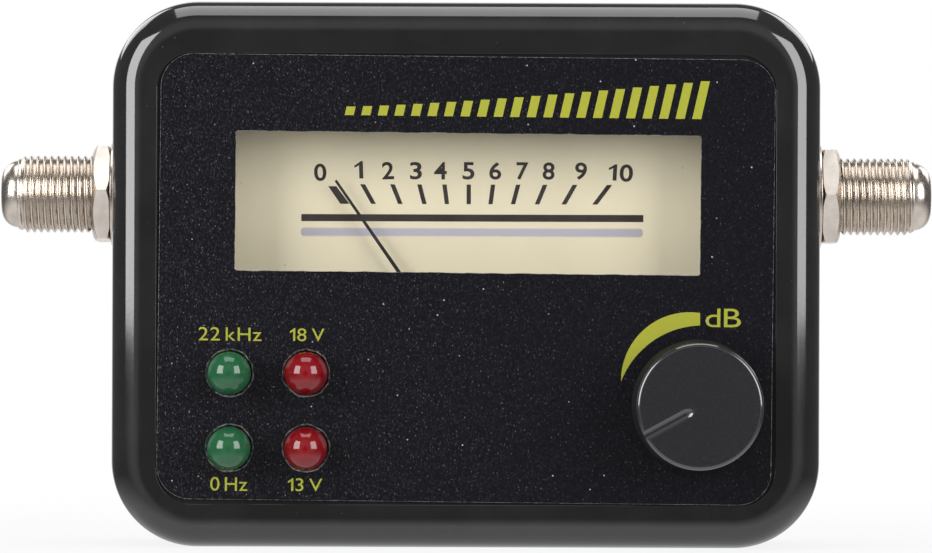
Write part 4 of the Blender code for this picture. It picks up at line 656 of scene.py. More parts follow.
def front_shell():
    """Make the front shell: rounded rim, recess, window, holes, hollow and screw bosses."""
    depth = SPLIT_Y - RIM_Y
    body = slab(CASE_WIDTH, CASE_HEIGHT, depth, CASE_CORNER, CORNER_STEPS, FRONT_ROUND, 0, FRONT_ROUND_STEPS)
    moved(body, (0, RIM_Y, CENTRE_Z))
    face_back = RIM_Y + RECESS_DEPTH + WALL
    width = CASE_WIDTH - 2 * RIM_SIDE
    height = CASE_HEIGHT - RIM_TOP - RIM_BASE
    recess = slab(width, height, RECESS_DEPTH + OVERRUN, RECESS_CORNER, 12)
    moved(recess, (0, RIM_Y - OVERRUN, RIM_BASE + height / 2))
    wide, tall = WINDOW_WIDTH + 2 * WINDOW_MARGIN, WINDOW_HEIGHT + 2 * WINDOW_MARGIN
    window = slab(wide, tall, WALL + 4 * OVERRUN, WINDOW_MARGIN)
    moved(window, (WINDOW_X, RIM_Y, WINDOW_Z))
    groove = case_hollow(SPLIT_Y - LIP_HEIGHT - SEAT, SPLIT_Y + OVERRUN, WALL - LIP_THICKNESS - SEAT)
    steps = [
        (CUT, case_hollow(face_back, SPLIT_Y + OVERRUN, WALL)),
        (CUT, groove),
        (JOIN, boss_rods(BOSS_RADIUS, face_back - OVERRUN / 2, SPLIT_Y)),
        (CUT, boss_rods(PILOT_RADIUS, face_back + OVERRUN, SPLIT_Y + OVERRUN)),
        (CUT, recess),
        (CUT, window),
        (CUT, port_hole()),
    ]
    holes = [(middle(name), LAMP_HOLE_RADIUS) for name in LAMPS] + [(KNOB_AXIS, SHAFT_HOLE_RADIUS)]
    for spot, radius in holes:
        hole = prism(circle(spot, radius, 40), RIM_Y - OVERRUN, face_back + OVERRUN)
        steps.append((CUT, hole))
    piece("case_front", carved(body, steps), "case_plastic", ["front_shell"], SEAM_ROUND)


def rear_shell():
    """Make the rear shell: rounded back edge, hollow, lip, screw bosses and sunk screw seats."""
    depth = CASE_HIGH.y - SPLIT_Y - SEAT
    start = SPLIT_Y + SEAT
    body = slab(CASE_WIDTH, CASE_HEIGHT, depth, CASE_CORNER, CORNER_STEPS, 0, REAR_ROUND, REAR_ROUND_STEPS)
    moved(body, (0, start, CENTRE_Z))
    inside = CASE_HIGH.y - WALL
    steps = [
        (JOIN, case_hollow(SPLIT_Y - LIP_HEIGHT, start + OVERRUN / 2, WALL - LIP_THICKNESS)),
        (CUT, case_hollow(SPLIT_Y - LIP_HEIGHT - OVERRUN, inside, WALL)),
        (JOIN, boss_rods(BOSS_RADIUS, start, inside + OVERRUN / 2)),
        (CUT, boss_rods(PILOT_RADIUS, start - OVERRUN, CASE_HIGH.y - SINK_DEPTH + OVERRUN)),
        (CUT, boss_rods(SINK_RADIUS, CASE_HIGH.y - SINK_DEPTH, CASE_HIGH.y + OVERRUN)),
        (CUT, port_hole()),
    ]
    piece("case_rear", carved(body, steps), "case_plastic", ["rear_shell"], SEAM_ROUND)


# Label and what is printed on it
LABEL_CENTRE = Vector((0, LABEL_LOW.y, (LABEL_LOW.z + LABEL_HIGH.z) / 2))
INK_RISE = 0.012 * MM
INK_SINK = 0.02 * MM


def wavy_rectangle(width, height, corner, wave):
    """Give the outline of a rectangle with small round corners, cut a little unevenly by hand."""
    points = []
    half_x, half_z = width / 2 - corner, height / 2 - corner
    centres = [Vector((x * half_x, z * half_z)) for x, z in ((1, 1), (-1, 1), (-1, -1), (1, -1))]
    for turn, centre in enumerate(centres):
        for i in range(5):
            angle = QUARTER * (turn + i / 4)
            points.append(centre + corner * Vector((math.cos(angle), math.sin(angle))))
        last = points[-1]
        end = centres[(turn + 1) % 4] + corner * Vector((math.cos(angle), math.sin(angle)))
        count = 90 if turn % 2 == 0 else 30
        for i in range(1, count):
            spot = last.lerp(end, i / count)
            drift = noise.noise(spot.to_3d() / (2.6 * MM)) * wave
            drift += noise.noise(spot.to_3d() / (0.7 * MM)) * wave / 2
            points.append(spot + drift * Vector((math.cos(angle), math.sin(angle))))
    return points


def front_label():
    """Make the label: a pebbled sheet with hand-cut window and holes and whitish cut edges."""
    width = CASE_WIDTH - 2 * RIM_SIDE - 2 * LABEL_SIDE_GAP
    height = CASE_HEIGHT - RIM_TOP - RIM_BASE - 2 * LABEL_EDGE_GAP
    sheet = slab(width, height, LABEL_THICKNESS, RECESS_CORNER - LABEL_EDGE_GAP, 16)
    moved(sheet, LABEL_CENTRE, LABEL_TWIST)
    start, end = LABEL_LOW.y - OVERRUN, LABEL_HIGH.y + OVERRUN
    window = prism(wavy_rectangle(WINDOW_WIDTH, WINDOW_HEIGHT, WINDOW_CORNER, WINDOW_WAVE), start, end)
    moved(window, (WINDOW_X, 0, WINDOW_Z), LABEL_TWIST)
    steps = [(CUT, window)]
    wide = LABEL_HOLE_RADIUS + LABEL_HOLE_SLOPE * OVERRUN
    narrow = LABEL_HOLE_RADIUS - LABEL_HOLE_SLOPE * (end - LABEL_LOW.y)
    for i, name in enumerate(LAMPS):
        spot = middle(name)
        front, back = (circle(spot, radius, 72, HOLE_RAGGED, RAGGED_SEED * i) for radius in (wide, narrow))
        steps.append((CUT, flared(front, back, start, end)))
    steps.append((CUT, prism(circle(KNOB_AXIS, SHAFT_HOLE_RADIUS), start, end)))
    cut = carved(sheet, steps)
    cut.normal_update()
    for face in cut.faces:
        face.material_index = 1 if LABEL_SIDE_LIMIT < -face.normal.y < LABEL_FACE_LIMIT else 0
    piece(
        "label_sheet", cut, "label_sheet", ["front_label"], LABEL_CUT_EDGE, [LABEL_BLACK, LABEL_CUT],
        steps=1, edge_material=1,
    )


def on_label(x, z):
    """Give the place on the label of a point measured from its centre."""
    return LABEL_CENTRE + Matrix.Rotation(LABEL_TWIST, 3, "Y") @ Vector((x, 0, z))


def ink(name, bm, place, turn, material, slot):
    """Lay a thin raised print on the sheet it belongs to."""
    piece(name, moved(bm, place, turn), slot, materials=[material], sharp=60.0)


def shapes(*outlines):
    """Make one print of several outlines."""
    return gathered(prism(outline, -INK_RISE, INK_SINK) for outline in outlines)


# The figure one in a plain style, as shares of a letter's size
ONE_OUTLINE = (
    (0.275, 0.0), (0.375, 0.0), (0.375, 0.69), (0.31, 0.69), (0.265, 0.63), (0.20, 0.575), (0.12, 0.53),
    (0.12, 0.435), (0.21, 0.475), (0.275, 0.525),
)
ONE_MIDDLE = 0.3
LETTER_SPACE = 0.1
WORD_SPACE = 0.16


def letter(mark, weight):
    """Make one letter or figure as a thin upright print, in shares of its size."""
    if mark == "1":
        return shapes([(x + (weight if x > ONE_MIDDLE else -weight), z) for x, z in ONE_OUTLINE])
    if mark == "9":
        return changed(letter("6", weight), Matrix.Rotation(math.pi, 4, "Y"))
    curve = bpy.data.curves.new("letter", "FONT")
    curve.body = mark
    curve.offset = weight
    curve.extrude = 0.5
    curve.resolution_u = 6
    bm = taken(placed("letter", curve))
    for vert in bm.verts:
        vert.co = (vert.co.x, -INK_RISE if vert.co.z > 0 else INK_SINK, vert.co.y)
    return bm


def reach_of(bm, axis):
    """Give the lowest and highest place of a mesh along an axis."""
    places = [vert.co[axis] for vert in bm.verts]
    return min(places), max(places)


def words(body, width, height, weight=0.0):
    """Make a print of words or numbers, fitted to a width and height."""
    parts = []
    cursor = 0.0
    for mark in body:
        if mark == " ":
            cursor += WORD_SPACE
            continue
        part = letter(mark, weight)
        left, right = reach_of(part, 0)
        bmesh.ops.translate(part, vec=(cursor - left, 0, 0), verts=part.verts)
        cursor += right - left + LETTER_SPACE
        parts.append(part)
    bm = gathered(parts)
    for axis, size in ((0, width), (2, height)):
        low, high = reach_of(bm, axis)
        for vert in bm.verts:
            vert.co[axis] = (vert.co[axis] - (low + high) / 2) * size / (high - low)
    bmesh.ops.remove_doubles(bm, verts=bm.verts, dist=WELD)
    return bm


# Name of the print, its words, width, height, and its place from the label's centre
LAMP_WORDS = (
    ("print_22khz", "22 kHz", 7.3, 1.55, -27.3, -6.65),
    ("print_18v", "18 V", 4.0, 1.5, -18.35, -6.65),
    ("print_0hz", "0 Hz", 4.3, 1.6, -27.25, -24.05),
    ("print_13v", "13 V", 4.0, 1.5, -18.4, -24.05),
    ("print_db", "dB", 4.1, 2.15, 29.9, -4.13),
)
BAR_COUNT = 22
BAR_PITCH = 1.92 * MM
BAR_WIDTH = 1.05 * MM
BAR_LOW = 1.0 * MM
BAR_HIGH = 4.4 * MM
BAR_SLANT = 0.22
BAR_CURVE = 1.3
BAR_START = (-14.3 * MM, 18.9 * MM)
SWEEP_OUTER = ((0.35, 10.44), (-5.42, 9.04), (-8.74, 2.39))
SWEEP_INNER = ((0.35, 9.00), (-6.19, 6.24), (-8.74, 2.39))
SWEEP_CENTRE = (26.75 * MM, LABEL_LOW.y, 17.0 * MM)
SWEEP_STEPS = 28
LABEL_PRINT = (LABEL_TWIST, LABEL_INK, "label_sheet")


def through(points):
    """Give points along the circle through three points, from the first to the last."""
    a, b, c = (Vector(point) * MM for point in points)
    ab, ac = b - a, c - a
    twice = 2 * (ab.x * ac.y - ab.y * ac.x)
    centre = a + Vector((
        (ac.y * ab.length_squared - ab.y * ac.length_squared) / twice,
        (ab.x * ac.length_squared - ac.x * ab.length_squared) / twice,
    ))
    start = math.atan2(a.y - centre.y, a.x - centre.x)
    end = math.atan2(c.y - centre.y, c.x - centre.x)
    if end < start:
        end += 2 * math.pi
    radius = (a - centre).length
    angles = [start + (end - start) * i / SWEEP_STEPS for i in range(SWEEP_STEPS + 1)]
    return [centre + radius * Vector((math.cos(angle), math.sin(angle))) for angle in angles]


def label_prints():
    """Print the lamps' words, the knob's sweep and a row of rising bars."""
    for name, body, width, height, x, z in LAMP_WORDS:
        ink(name, words(body, width * MM, height * MM), on_label(x * MM, z * MM), *LABEL_PRINT)
    sweep = through(SWEEP_OUTER) + through(SWEEP_INNER)[-2::-1]
    ink("print_sweep", shapes(sweep), SWEEP_CENTRE, *LABEL_PRINT)
    bars = []
    for i in range(BAR_COUNT):
        left, right = i * BAR_PITCH, i * BAR_PITCH + BAR_WIDTH
        tall = BAR_LOW + (BAR_HIGH - BAR_LOW) * (i / (BAR_COUNT - 1)) ** BAR_CURVE
        lean = tall * BAR_SLANT
        bars.append([(left, 0), (right, 0), (right + lean, tall), (left + lean, tall)])
    ink("print_bars", shapes(*bars), on_label(*BAR_START), *LABEL_PRINT)


# Dial
DIAL_PIVOT = Vector((NEEDLE_AXIS.x, DIAL_FRONT, NEEDLE_AXIS.z))
DIAL_TURN = math.radians(-0.03)
TICK_STEP = math.radians(7.37)
TICK_LOW = 19.7 * MM
TICK_HIGH = 22.0 * MM
TICK_WIDTH = 0.5 * MM
FIRST_TICK = ((-15.04, 19.7), (-13.95, 19.7), (-15.51, 21.76), (-16.46, 21.76))
NUMBER_HEIGHT = 2.05 * MM
NUMBER_WEIGHT = 0.02
NUMBER_LEAN_SHARE = 0.08
# Width of each number, and its place to the right of the pivot and above it
NUMBERS = (
    (1.45, -17.4, 23.38), (1.0, -12.88, 23.68), (1.4, -9.47, 23.6), (1.4, -6.2, 23.6), (1.5, -3.33, 23.6),
    (1.4, -0.04, 23.6), (1.4, 3.1, 23.6), (1.4, 6.27, 23.6), (1.4, 9.35, 23.6), (1.4, 13.13, 23.6),
    (2.85, 17.8, 23.42),
)
BAND_LOW = 15.82
BAND_HIGH = 16.98
DIAL_LILAC = soft_band(
    "dial_lilac", (0.40, 0.38, 0.43), DIAL_COLOUR, NEEDLE_AXIS.z + (BAND_LOW + BAND_HIGH) / 2 * MM,
    (BAND_HIGH - BAND_LOW) / 2 * MM,
)
# Left, right, lowest and highest place of each bar from the pivot, and how far its ends are rounded
SCALE_LINES = (
    ("dial_line", DIAL_INK, -19.6, 20.45, 17.66, 18.49, 0.05),
    ("dial_band", DIAL_LILAC, -19.65, 20.40, BAND_LOW, BAND_HIGH, 0.55),
)


def stadium(left, right, low, high, end):
    """Give the outline of a bar whose ends are rounded by a radius."""
    corners = rectangle(left + end, right - end, low + end, high - end)
    points = []
    for turn in (-1, 0, 1, 2):
        points += arc(*corners[turn - 2], end, 90 * turn, 90 * (turn + 1), 6)
    return points


def dial_print():
    """Print the scale: numbers, slanted ticks, the black line and the pale band."""
    for number, (width, across, rise) in enumerate(NUMBERS):
        bm = words(str(number), width * MM, NUMBER_HEIGHT, NUMBER_WEIGHT)
        place = DIAL_PIVOT + Matrix.Rotation(DIAL_TURN, 3, "Y") @ Vector((across * MM, 0, rise * MM))
        lean = DIAL_TURN + NUMBER_LEAN_SHARE * TICK_STEP * (number - 5)
        ink(f"dial_number_{number}", bm, place, lean, DIAL_INK, "dial_sheet")
    ticks = [[(x * MM, z * MM) for x, z in FIRST_TICK]]
    for number in range(1, 11):
        slope = math.tan(TICK_STEP * (number - 5))
        half = TICK_WIDTH / 2 * math.hypot(1, slope)
        foot, head = slope * TICK_LOW, slope * TICK_HIGH
        low, high = TICK_LOW, TICK_HIGH
        ticks.append([(foot - half, low), (foot + half, low), (head + half, high), (head - half, high)])
    ink("dial_ticks", shapes(*ticks), DIAL_PIVOT, DIAL_TURN, DIAL_INK, "dial_sheet")
    for name, material, *numbers in SCALE_LINES:
        bar = shapes(stadium(*(number * MM for number in numbers)))
        ink(name, bar, DIAL_PIVOT, DIAL_TURN, material, "dial_sheet")


# Lamps
LENS_RADIUS = 2.5 * MM
FLANGE_RADIUS = 2.9 * MM
FLANGE_HEIGHT = 1.0 * MM
LENS_STEPS = 12
LEG_HALF = 0.25 * MM
LEG_PITCH = 2.54 * MM


def lamps():
    """Make the four lamps: a domed resin body with a flange, on two square legs."""
    base_y = RIM_Y + RECESS_DEPTH + WALL + SEAT + FLANGE_HEIGHT
    for name in LAMPS:
        low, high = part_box(name)
        tall = base_y - low.y
        dome = arc(0, tall - LENS_RADIUS, LENS_RADIUS, 90, 0, LENS_STEPS)
        profile = [(0, tall)] + dome[1:] + [
            (LENS_RADIUS, FLANGE_HEIGHT), (FLANGE_RADIUS, FLANGE_HEIGHT), (FLANGE_RADIUS, 0), (0, 0),
        ]
        spot = middle(name)
        body = faced(revolved(profile, 48), (spot.x, base_y, spot.z), (0, -1, 0))
        slot = "green_lens" if "green" in name else "red_lens"
        legs = []
        for x in (-LEG_PITCH / 2, LEG_PITCH / 2):
            outline = rectangle(x - LEG_HALF, x + LEG_HALF, -LEG_HALF, LEG_HALF)
            leg = prism(outline, base_y - FLANGE_HEIGHT / 2, high.y)
            legs.append((JOIN, moved(leg, (spot.x, 0, spot.z))))
        piece(f"{name}_lens", carved(body, legs), slot, [name])


# Needle
NEEDLE_TURN = math.radians(-34.8)
NEEDLE_REACH = 27.3 * MM
NEEDLE_ROOT_HALF = 0.29 * MM
NEEDLE_TIP_HALF = 0.155 * MM
NEEDLE_SHEET = 0.25 * MM
NEEDLE_HUB_RADIUS = 1.3 * MM
NEEDLE_HUB_HEIGHT = 0.5 * MM
NEEDLE_BORE_RADIUS = 0.45 * MM
NEEDLE_ARM_HALF = 0.3 * MM
NEEDLE_EDGE = 0.03 * MM
# Across and along of each balance weight from the pivot, its radius and height
NEEDLE_WEIGHTS = ((0, -7.0, 1.1, 1.8), (-4.2, 0, 0.7, 0.8), (4.2, 0, 0.7, 0.8))


def needle():
    """Make the needle: a fine tapered blade, a hub on the pivot, and a tail and arms with weights."""
    half = NEEDLE_SHEET / 2
    root, tip, arm = NEEDLE_ROOT_HALF, NEEDLE_TIP_HALF, NEEDLE_ARM_HALF
    blade = prism([(-root, 0), (-tip, NEEDLE_REACH), (tip, NEEDLE_REACH), (root, 0)], -half, half)
    pivot = Vector()
    steps = [(JOIN, prism(circle(pivot, NEEDLE_HUB_RADIUS), -NEEDLE_HUB_HEIGHT / 2, NEEDLE_HUB_HEIGHT / 2))]
    for across, along, radius, height in NEEDLE_WEIGHTS:
        x, z = across * MM, along * MM
        bar = rectangle(min(x, -arm), max(x, arm), min(z, -arm), arm)
        steps.append((JOIN, prism(bar, -half, half)))
        disc = circle(Vector((x, 0, z)), radius * MM, 32)
        steps.append((JOIN, prism(disc, -height / 2 * MM, height / 2 * MM)))
    steps.append((CUT, prism(circle(pivot, NEEDLE_BORE_RADIUS, 32), -OVERRUN, OVERRUN)))
    place = (NEEDLE_AXIS.x, middle("needle").y, NEEDLE_AXIS.z)
    bm = moved(carved(blade, steps), place, NEEDLE_TURN)
    piece("needle_blade", bm, "needle_sheet", ["needle"], NEEDLE_EDGE, body="needle")


# Knob
KNOB_TOP_RADIUS = 7.33 * MM
KNOB_BASE_RADIUS = 7.65 * MM
KNOB_EDGE = 0.5 * MM
KNOB_EDGE_STEPS = 10
KNOB_WALL = 1.2 * MM
KNOB_ROOF = 1.4 * MM
HUB_RADIUS = 4.6 * MM
BORE_RADIUS = 3.1 * MM
POINTER_HALF_WIDTH = 0.62 * MM
POINTER_DEPTH = 0.24 * MM
POINTER_START = 0.5 * MM
POINTER_NOSE = 1.5 * MM
POINTER_TURN = math.radians(-118.7)
# How far forward a face looks where the knob's face ends, and where its rim ends
KNOB_FACE_LIMIT = 0.995
KNOB_RIM_LIMIT = 0.12


def knob():
    """Make the knob: a tapered cap with a rounded front edge, a pointer groove and a hub on the shaft."""
    height = KNOB_HIGH.y - KNOB_LOW.y
    roof = height - KNOB_ROOF
    edge = arc(KNOB_TOP_RADIUS - KNOB_EDGE, height - KNOB_EDGE, KNOB_EDGE, 90, 0, KNOB_EDGE_STEPS)
    profile = [(0, height)] + edge + [
        (KNOB_BASE_RADIUS, 0), (KNOB_BASE_RADIUS - KNOB_WALL, 0), (KNOB_TOP_RADIUS - KNOB_WALL, roof),
        (HUB_RADIUS, roof), (HUB_RADIUS, 0), (BORE_RADIUS, 0), (BORE_RADIUS, roof), (0, roof),
    ]
    cap = faced(revolved(profile, 96), (0, KNOB_HIGH.y, 0), (0, -1, 0))
    reach = KNOB_TOP_RADIUS + OVERRUN
    bend = (POINTER_HALF_WIDTH ** 2 + POINTER_DEPTH ** 2) / (2 * POINTER_DEPTH)
    end = POINTER_START + POINTER_NOSE
    nose = [(r, end + (z - end) * POINTER_NOSE / bend) for r, z in arc(0, end, bend, -90, 0, 12)]
    groove = revolved(nose + [(bend, reach), (0, reach)], 40)
    moved(groove, (0, KNOB_LOW.y - bend + POINTER_DEPTH, 0))
    bm = moved(carved(cap, [(CUT, groove)]), (KNOB_AXIS.x, 0, KNOB_AXIS.z), POINTER_TURN)
    bm.normal_update()
    for face in bm.faces:
        forward = -face.normal.y
        face.material_index = 0 if forward > KNOB_FACE_LIMIT else 1 if forward > KNOB_RIM_LIMIT else 2
    materials = [KNOB_FACE, KNOB_RIM, KNOB_SKIRT]
    piece("knob_cap", bm, "knob_plastic", ["knob"], FINE_EDGE, materials, "knob")


# Connectors
PORT_THREAD_RADIUS = 4.675 * MM
PORT_CREST_RADIUS = 4.55 * MM
PORT_ROOT_RADIUS = 4.12 * MM
PORT_PITCH = 0.79375 * MM
PORT_TIP_RADIUS = 3.95 * MM
PORT_TIP_LENGTH = 2.0 * MM
PORT_LAND_RADIUS = 1.9 * MM
PORT_MOUTH_RADIUS = 1.3 * MM
PORT_MOUTH_LIP = 1.0 * MM
PORT_NOSE_STEPS = 12
PORT_BORE_RADIUS = 2.9 * MM
PORT_CORE_GAP = 0.1 * MM
PORT_FLANGE_RADIUS = 6.0 * MM
PORT_FLANGE_SHEET = 1.5 * MM
PORT_STEPS = 64
ROWS_PER_TURN = 12
TOOTH_HEIGHT = 1.25
TOOTH_FLANK = 2.6
THREAD_RUN_OUT = 0.9 * MM
THREAD_RUN_IN = 0.3 * MM
PIN_HOLE_RADIUS = 0.6 * MM
PIN_THROAT_RADIUS = 0.75 * MM
PIN_SEAT_RADIUS = 1.1 * MM
PIN_SEAT_DEPTH = 0.25 * MM
WASHER_RADIUS = 6.1 * MM
WASHER_EDGE = 0.08 * MM
NUT_ACROSS = 10.9 * MM
NUT_OUTER_CHAMFER = 0.65 * MM
NUT_INNER_CHAMFER = 0.3 * MM
NUT_TRIM = 0.5 * MM
NUT_EDGE = 0.09 * MM
# Name of each connector, the way it points along x and how far its nut is turned in degrees
CONNECTORS = (("left", -1, 3.9), ("right", 1, 1.5))


def threaded_body(reach):
    """Make a connector's body: flange, helical thread, nose and bore, along z from the case wall."""
    start = -WALL - SEAT
    inner = start - PORT_FLANGE_SHEET
    end = reach - PORT_TIP_LENGTH
    depth = PORT_CREST_RADIUS - PORT_ROOT_RADIUS
    rows = [(PORT_FLANGE_RADIUS, inner, 0.0), (PORT_FLANGE_RADIUS, start, 0.0)]
    rows.append((PORT_ROOT_RADIUS, start, 0.0))
    count = int((end - start) / PORT_PITCH * ROWS_PER_TURN)
    for i in range(1, count + 1):
        height = start + (end - start) * i / count
        fade = min(1.0, (end - height) / THREAD_RUN_OUT, (height - start) / THREAD_RUN_IN)
        rows.append((PORT_ROOT_RADIUS, height, depth * max(0.0, fade)))
    for i in range(PORT_NOSE_STEPS + 1):
        angle = QUARTER * i / PORT_NOSE_STEPS
        radius = PORT_LAND_RADIUS + (PORT_TIP_RADIUS - PORT_LAND_RADIUS) * math.cos(angle)
        rows.append((radius, reach - PORT_TIP_LENGTH * (1 - math.sin(angle)), 0.0))
    back = reach - PORT_MOUTH_LIP
    rows += [(PORT_MOUTH_RADIUS, reach, 0.0), (PORT_MOUTH_RADIUS, back, 0.0)]
    rows += [(PORT_BORE_RADIUS, back, 0.0), (PORT_BORE_RADIUS, inner, 0.0)]
    bm = bmesh.new()
    rings = []
    for radius, height, ridge in rows:
        ring = []
        for k in range(PORT_STEPS):
            share = k / PORT_STEPS
            phase = (height / PORT_PITCH - share) % 1.0
            tooth = min(1.0, max(0.0, TOOTH_HEIGHT - TOOTH_FLANK * abs(phase - 0.5)))
            reach_out = radius + ridge * tooth
            angle = 2 * math.pi * share
            ring.append(bm.verts.new((reach_out * math.cos(angle), reach_out * math.sin(angle), height)))
        rings.append(ring)
    return closed(bm, rings, PORT_STEPS)


def hex_nut(low, high, bore, turn):
    """Make a hex nut along z between two heights, chamfered on both faces, one corner turned from x."""
    corner = NUT_ACROSS / 2 / math.cos(math.pi / 6)
    bm = bmesh.new()
    place = Matrix.Translation((0, 0, (low + high) / 2)) @ Matrix.Rotation(turn + math.pi / 6, 4, "Z")
    bmesh.ops.create_cone(
        bm, cap_ends=True, segments=6, radius1=corner, radius2=corner, depth=high - low, matrix=place
    )
    outer = corner + NUT_TRIM
    front_rim, rear_rim = corner - 2 * NUT_OUTER_CHAMFER, corner - 2 * NUT_INNER_CHAMFER
    disc = revolved([
        (0, high), (front_rim, high), (outer, high - (outer - front_rim) / 2),
        (outer, low + (outer - rear_rim) / 2), (rear_rim, low), (0, low),
    ], 96)
    hole = tube(0, bore, low - OVERRUN, high + OVERRUN, 64)
    return carved(bm, [(KEEP, disc), (CUT, hole)])


def connector(name, side, nut_turn_deg):
    """Make one connector's threaded body, washer, nut and insulator; the contact is the frame's own."""
    foot = Vector((side * CASE_WIDTH / 2, PORT_AXIS.y, PORT_AXIS.z))

    def heights(kind):
        """Give how far a piece of the connector starts and ends from the case wall."""
        return sorted(abs(corner.x) - CASE_WIDTH / 2 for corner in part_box(f"connector_{kind}_{name}"))

    def fit(kind, bm, slot="nickel", **finish):
        """Put a piece in its place on the connector."""
        whole = faced(bm, foot, (side, 0, 0))
        piece(f"port_{kind}_{name}", whole, slot, [f"connector_{kind}_{name}"], **finish)

    reach = heights("body")[1]
    fit("body", threaded_body(reach), sharp=70.0)
    bore = PORT_THREAD_RADIUS + PORT_CORE_GAP
    fit("washer", tube(bore, WASHER_RADIUS, *heights("washer"), 72), edge=WASHER_EDGE)
    nut = hex_nut(*heights("nut"), bore, -side * math.radians(nut_turn_deg))
    fit("nut", nut, edge=NUT_EDGE, materials=[NUT_NICKEL])
    low, high = heights("insulator")
    high = min(high, reach - PORT_MOUTH_LIP - PORT_CORE_GAP)
    core, hole = PORT_BORE_RADIUS - PORT_CORE_GAP, PIN_HOLE_RADIUS
    plug = revolved([
        (hole, low), (core, low), (core, high), (PIN_SEAT_RADIUS, high),
        (PIN_THROAT_RADIUS, high - PIN_SEAT_DEPTH), (hole, high - 2 * PIN_SEAT_DEPTH),
    ], 48)
    fit("insulator", plug, "white_plastic", edge=FINE_EDGE)


# Case screws
SCREW_RADIUS = 1.35 * MM
SCREW_HEAD_RADIUS = 2.6 * MM
SCREW_HEAD_HEIGHT = 1.8 * MM
SCREW_HEAD_ROUND = 0.8 * MM
CROSS_REACH = 1.6 * MM
CROSS_HALF = 0.4 * MM
CROSS_CORNER = 0.24 * MM
CROSS_TURN = 0.4


def case_screws():
    """Make the four case screws: domed heads with a cross recess, sunk in the back."""
    head = SCREW_HEAD_HEIGHT
    crown = SCREW_HEAD_ROUND
    for i, name in enumerate(SCREWS, 1):
        low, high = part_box(name)
        spot = middle(name)
        length = high.y - head - low.y
        profile = [(0, head)] + arc(SCREW_HEAD_RADIUS - crown, head - crown, crown, 90, 0, 6) + [
            (SCREW_HEAD_RADIUS, 0), (SCREW_RADIUS, 0), (SCREW_RADIUS, SCREW_RADIUS - length),
            (SCREW_RADIUS / 2, -length), (0, -length),
        ]
        body = faced(revolved(profile, 40), (spot.x, high.y - head, spot.z), (0, 1, 0))
        slots = []
        for turn in (CROSS_TURN * i, CROSS_TURN * i + QUARTER):
            bar = slab(2 * CROSS_REACH, 2 * CROSS_HALF, head, CROSS_CORNER, 3)
            slots.append((CUT, moved(bar, (spot.x, high.y - head / 2, spot.z), turn)))
        piece(f"back_screw_{i}", carved(body, slots), "screw_steel", [name], FINE_EDGE)


# Camera, lights and floor
CAMERA_DISTANCE = 800 * MM
CAMERA_HEIGHT = 31.58 * MM
CAMERA_ROLL = math.radians(-0.2)
FOCAL_PIXELS = 6896
IMAGE_WIDTH = 932
SENSOR = 36.0
TARGET = Vector((0, 0, CENTRE_Z))
FILL = 0.45
FLOOR_SIDE = 1.0
FLOOR_FRONT = 0.085
FLOOR_BACK = 1.5
# The floor turns plain white between these distances, from this share of white at the nearer one
SHADOW_NEAR = 0.065
SHADOW_FAR = 0.20
SHADOW_WHITE = 0.86


def camera():
    """Place the camera square in front of the label, where the photograph was taken."""
    data = bpy.data.cameras.new("camera")
    data.sensor_width = SENSOR
    data.lens = SENSOR * FOCAL_PIXELS / IMAGE_WIDTH
    data.clip_start = 0.05
    data.clip_end = 20.0
    obj = placed("camera", data)
    obj.location = (0, RIM_Y - CAMERA_DISTANCE, CAMERA_HEIGHT)
    obj.rotation_euler = (Matrix.Rotation(CAMERA_ROLL, 3, "Y") @ Matrix.Rotation(QUARTER, 3, "X")).to_euler()
    bpy.context.scene.camera = obj


# Name, azimuth and elevation in degrees as seen from the object, the tilt that the box faces down by,
# distance, width, height and radiance
SOFTBOXES = (
    ("softbox_left", -49, 20.5, 0, 0.9, 0.50, 0.66, 4.8),
    ("softbox_right", 47, 20.5, 0, 0.9, 0.50, 0.66, 4.0),
    ("softbox_top", 180, 89, 89, 0.85, 0.62, 0.78, 1.9),
    ("softbox_back_left", -138, 32, 32, 1.1, 0.55, 0.55, 2.0),
    ("softbox_back_right", 138, 32, 32, 1.1, 0.55, 0.55, 2.0),
)


def towards(azimuth, elevation):
    """Give the way from the object to a light, from angles in degrees."""
    a, e = math.radians(azimuth), math.radians(elevation)
    return Vector((math.sin(a) * math.cos(e), -math.cos(a) * math.cos(e), math.sin(e)))


def softboxes():
    """Light the part with large soft boxes."""
    for name, azimuth, elevation, tilt, distance, width, height, radiance in SOFTBOXES:
        data = bpy.data.lights.new(name, "AREA")
        data.shape = "RECTANGLE"
        data.size = width
        data.size_y = height
        data.energy = 4 * radiance * width * height
        light = placed(name, data)
        light.location = TARGET + distance * towards(azimuth, elevation)
        light.rotation_euler = towards(azimuth, tilt).to_track_quat("Z", "Y").to_euler()
        light.visible_camera = False


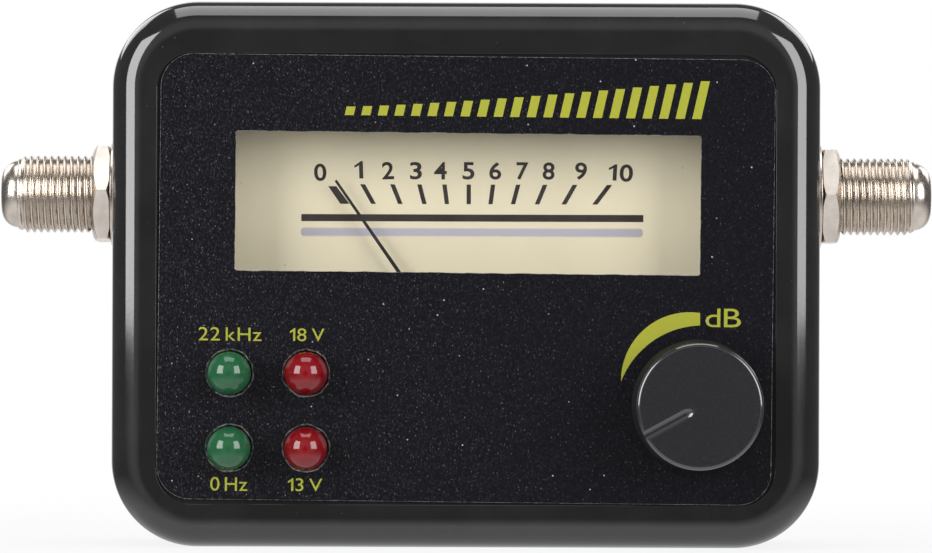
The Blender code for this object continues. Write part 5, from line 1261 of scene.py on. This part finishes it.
def surroundings():
    """Make a white background, darker in reflections on the camera's side, with a soft fill."""
    world = bpy.data.worlds.new("studio")
    nodes = Nodes(world)
    direct, glossy = nodes.rays()
    way = nodes.parts(nodes.add("ShaderNodeTexCoord").outputs["Generated"])
    behind = nodes.span(way["Y"], 0.80, 0.95)
    core = nodes.span(way["Y"], -0.99, -0.94, 0.07, 0.38)
    outer = nodes.span(way["Y"], -0.80, -0.50, 0.38, 0.12)
    below = nodes.span(way["Z"], -0.60, -0.12, 0.80, 0.0)
    around = nodes.maths("MINIMUM", core, outer)
    mirrored = nodes.maths("MAXIMUM", nodes.maths("MAXIMUM", behind, below), around)
    lit = nodes.blend(glossy, nodes.maths("MAXIMUM", below, FILL), mirrored)
    background = nodes.tree.nodes["Background"]
    nodes.join((1.0, 1.0, 1.0), background.inputs["Color"])
    nodes.join(nodes.blend(direct, lit, 1.0), background.inputs["Strength"])
    bpy.context.scene.world = world


def floor():
    """Lay a plain pale floor under the part; it keeps a soft shadow."""
    bm = bmesh.new()
    corners = rectangle(-FLOOR_SIDE, FLOOR_SIDE, -FLOOR_FRONT, FLOOR_BACK)
    bm.faces.new([bm.verts.new((x, y, 0)) for x, y in corners])
    obj = loose(bm, "floor")
    paint = Finish("floor_white", (0.6, 0.6, 0.6), 0.9, Specular_IOR_Level=0.1)
    away = paint.add("ShaderNodeVectorMath", {0: paint.place}, operation="LENGTH").outputs["Value"]
    whiter = paint.times(paint.rays()[0], paint.span(away, SHADOW_NEAR, SHADOW_FAR, SHADOW_WHITE, 1.0))
    white = paint.add("ShaderNodeEmission").outputs[0]
    both = paint.add("ShaderNodeMixShader", {0: whiter, 1: paint.shader.outputs[0], 2: white})
    paint.join(both.outputs[0], paint.tree.nodes["Material Output"].inputs["Surface"])
    obj.data.materials.append(paint.material)
    obj.visible_glossy = False


# Assembly
bpy.context.scene.view_settings.view_transform = "Standard"
camera()
softboxes()
surroundings()
floor()
dress_frame()
front_shell()
rear_shell()
front_label()
label_prints()
dial_print()
lamps()
needle()
knob()
for connector_facts in CONNECTORS:
    connector(*connector_facts)
case_screws()
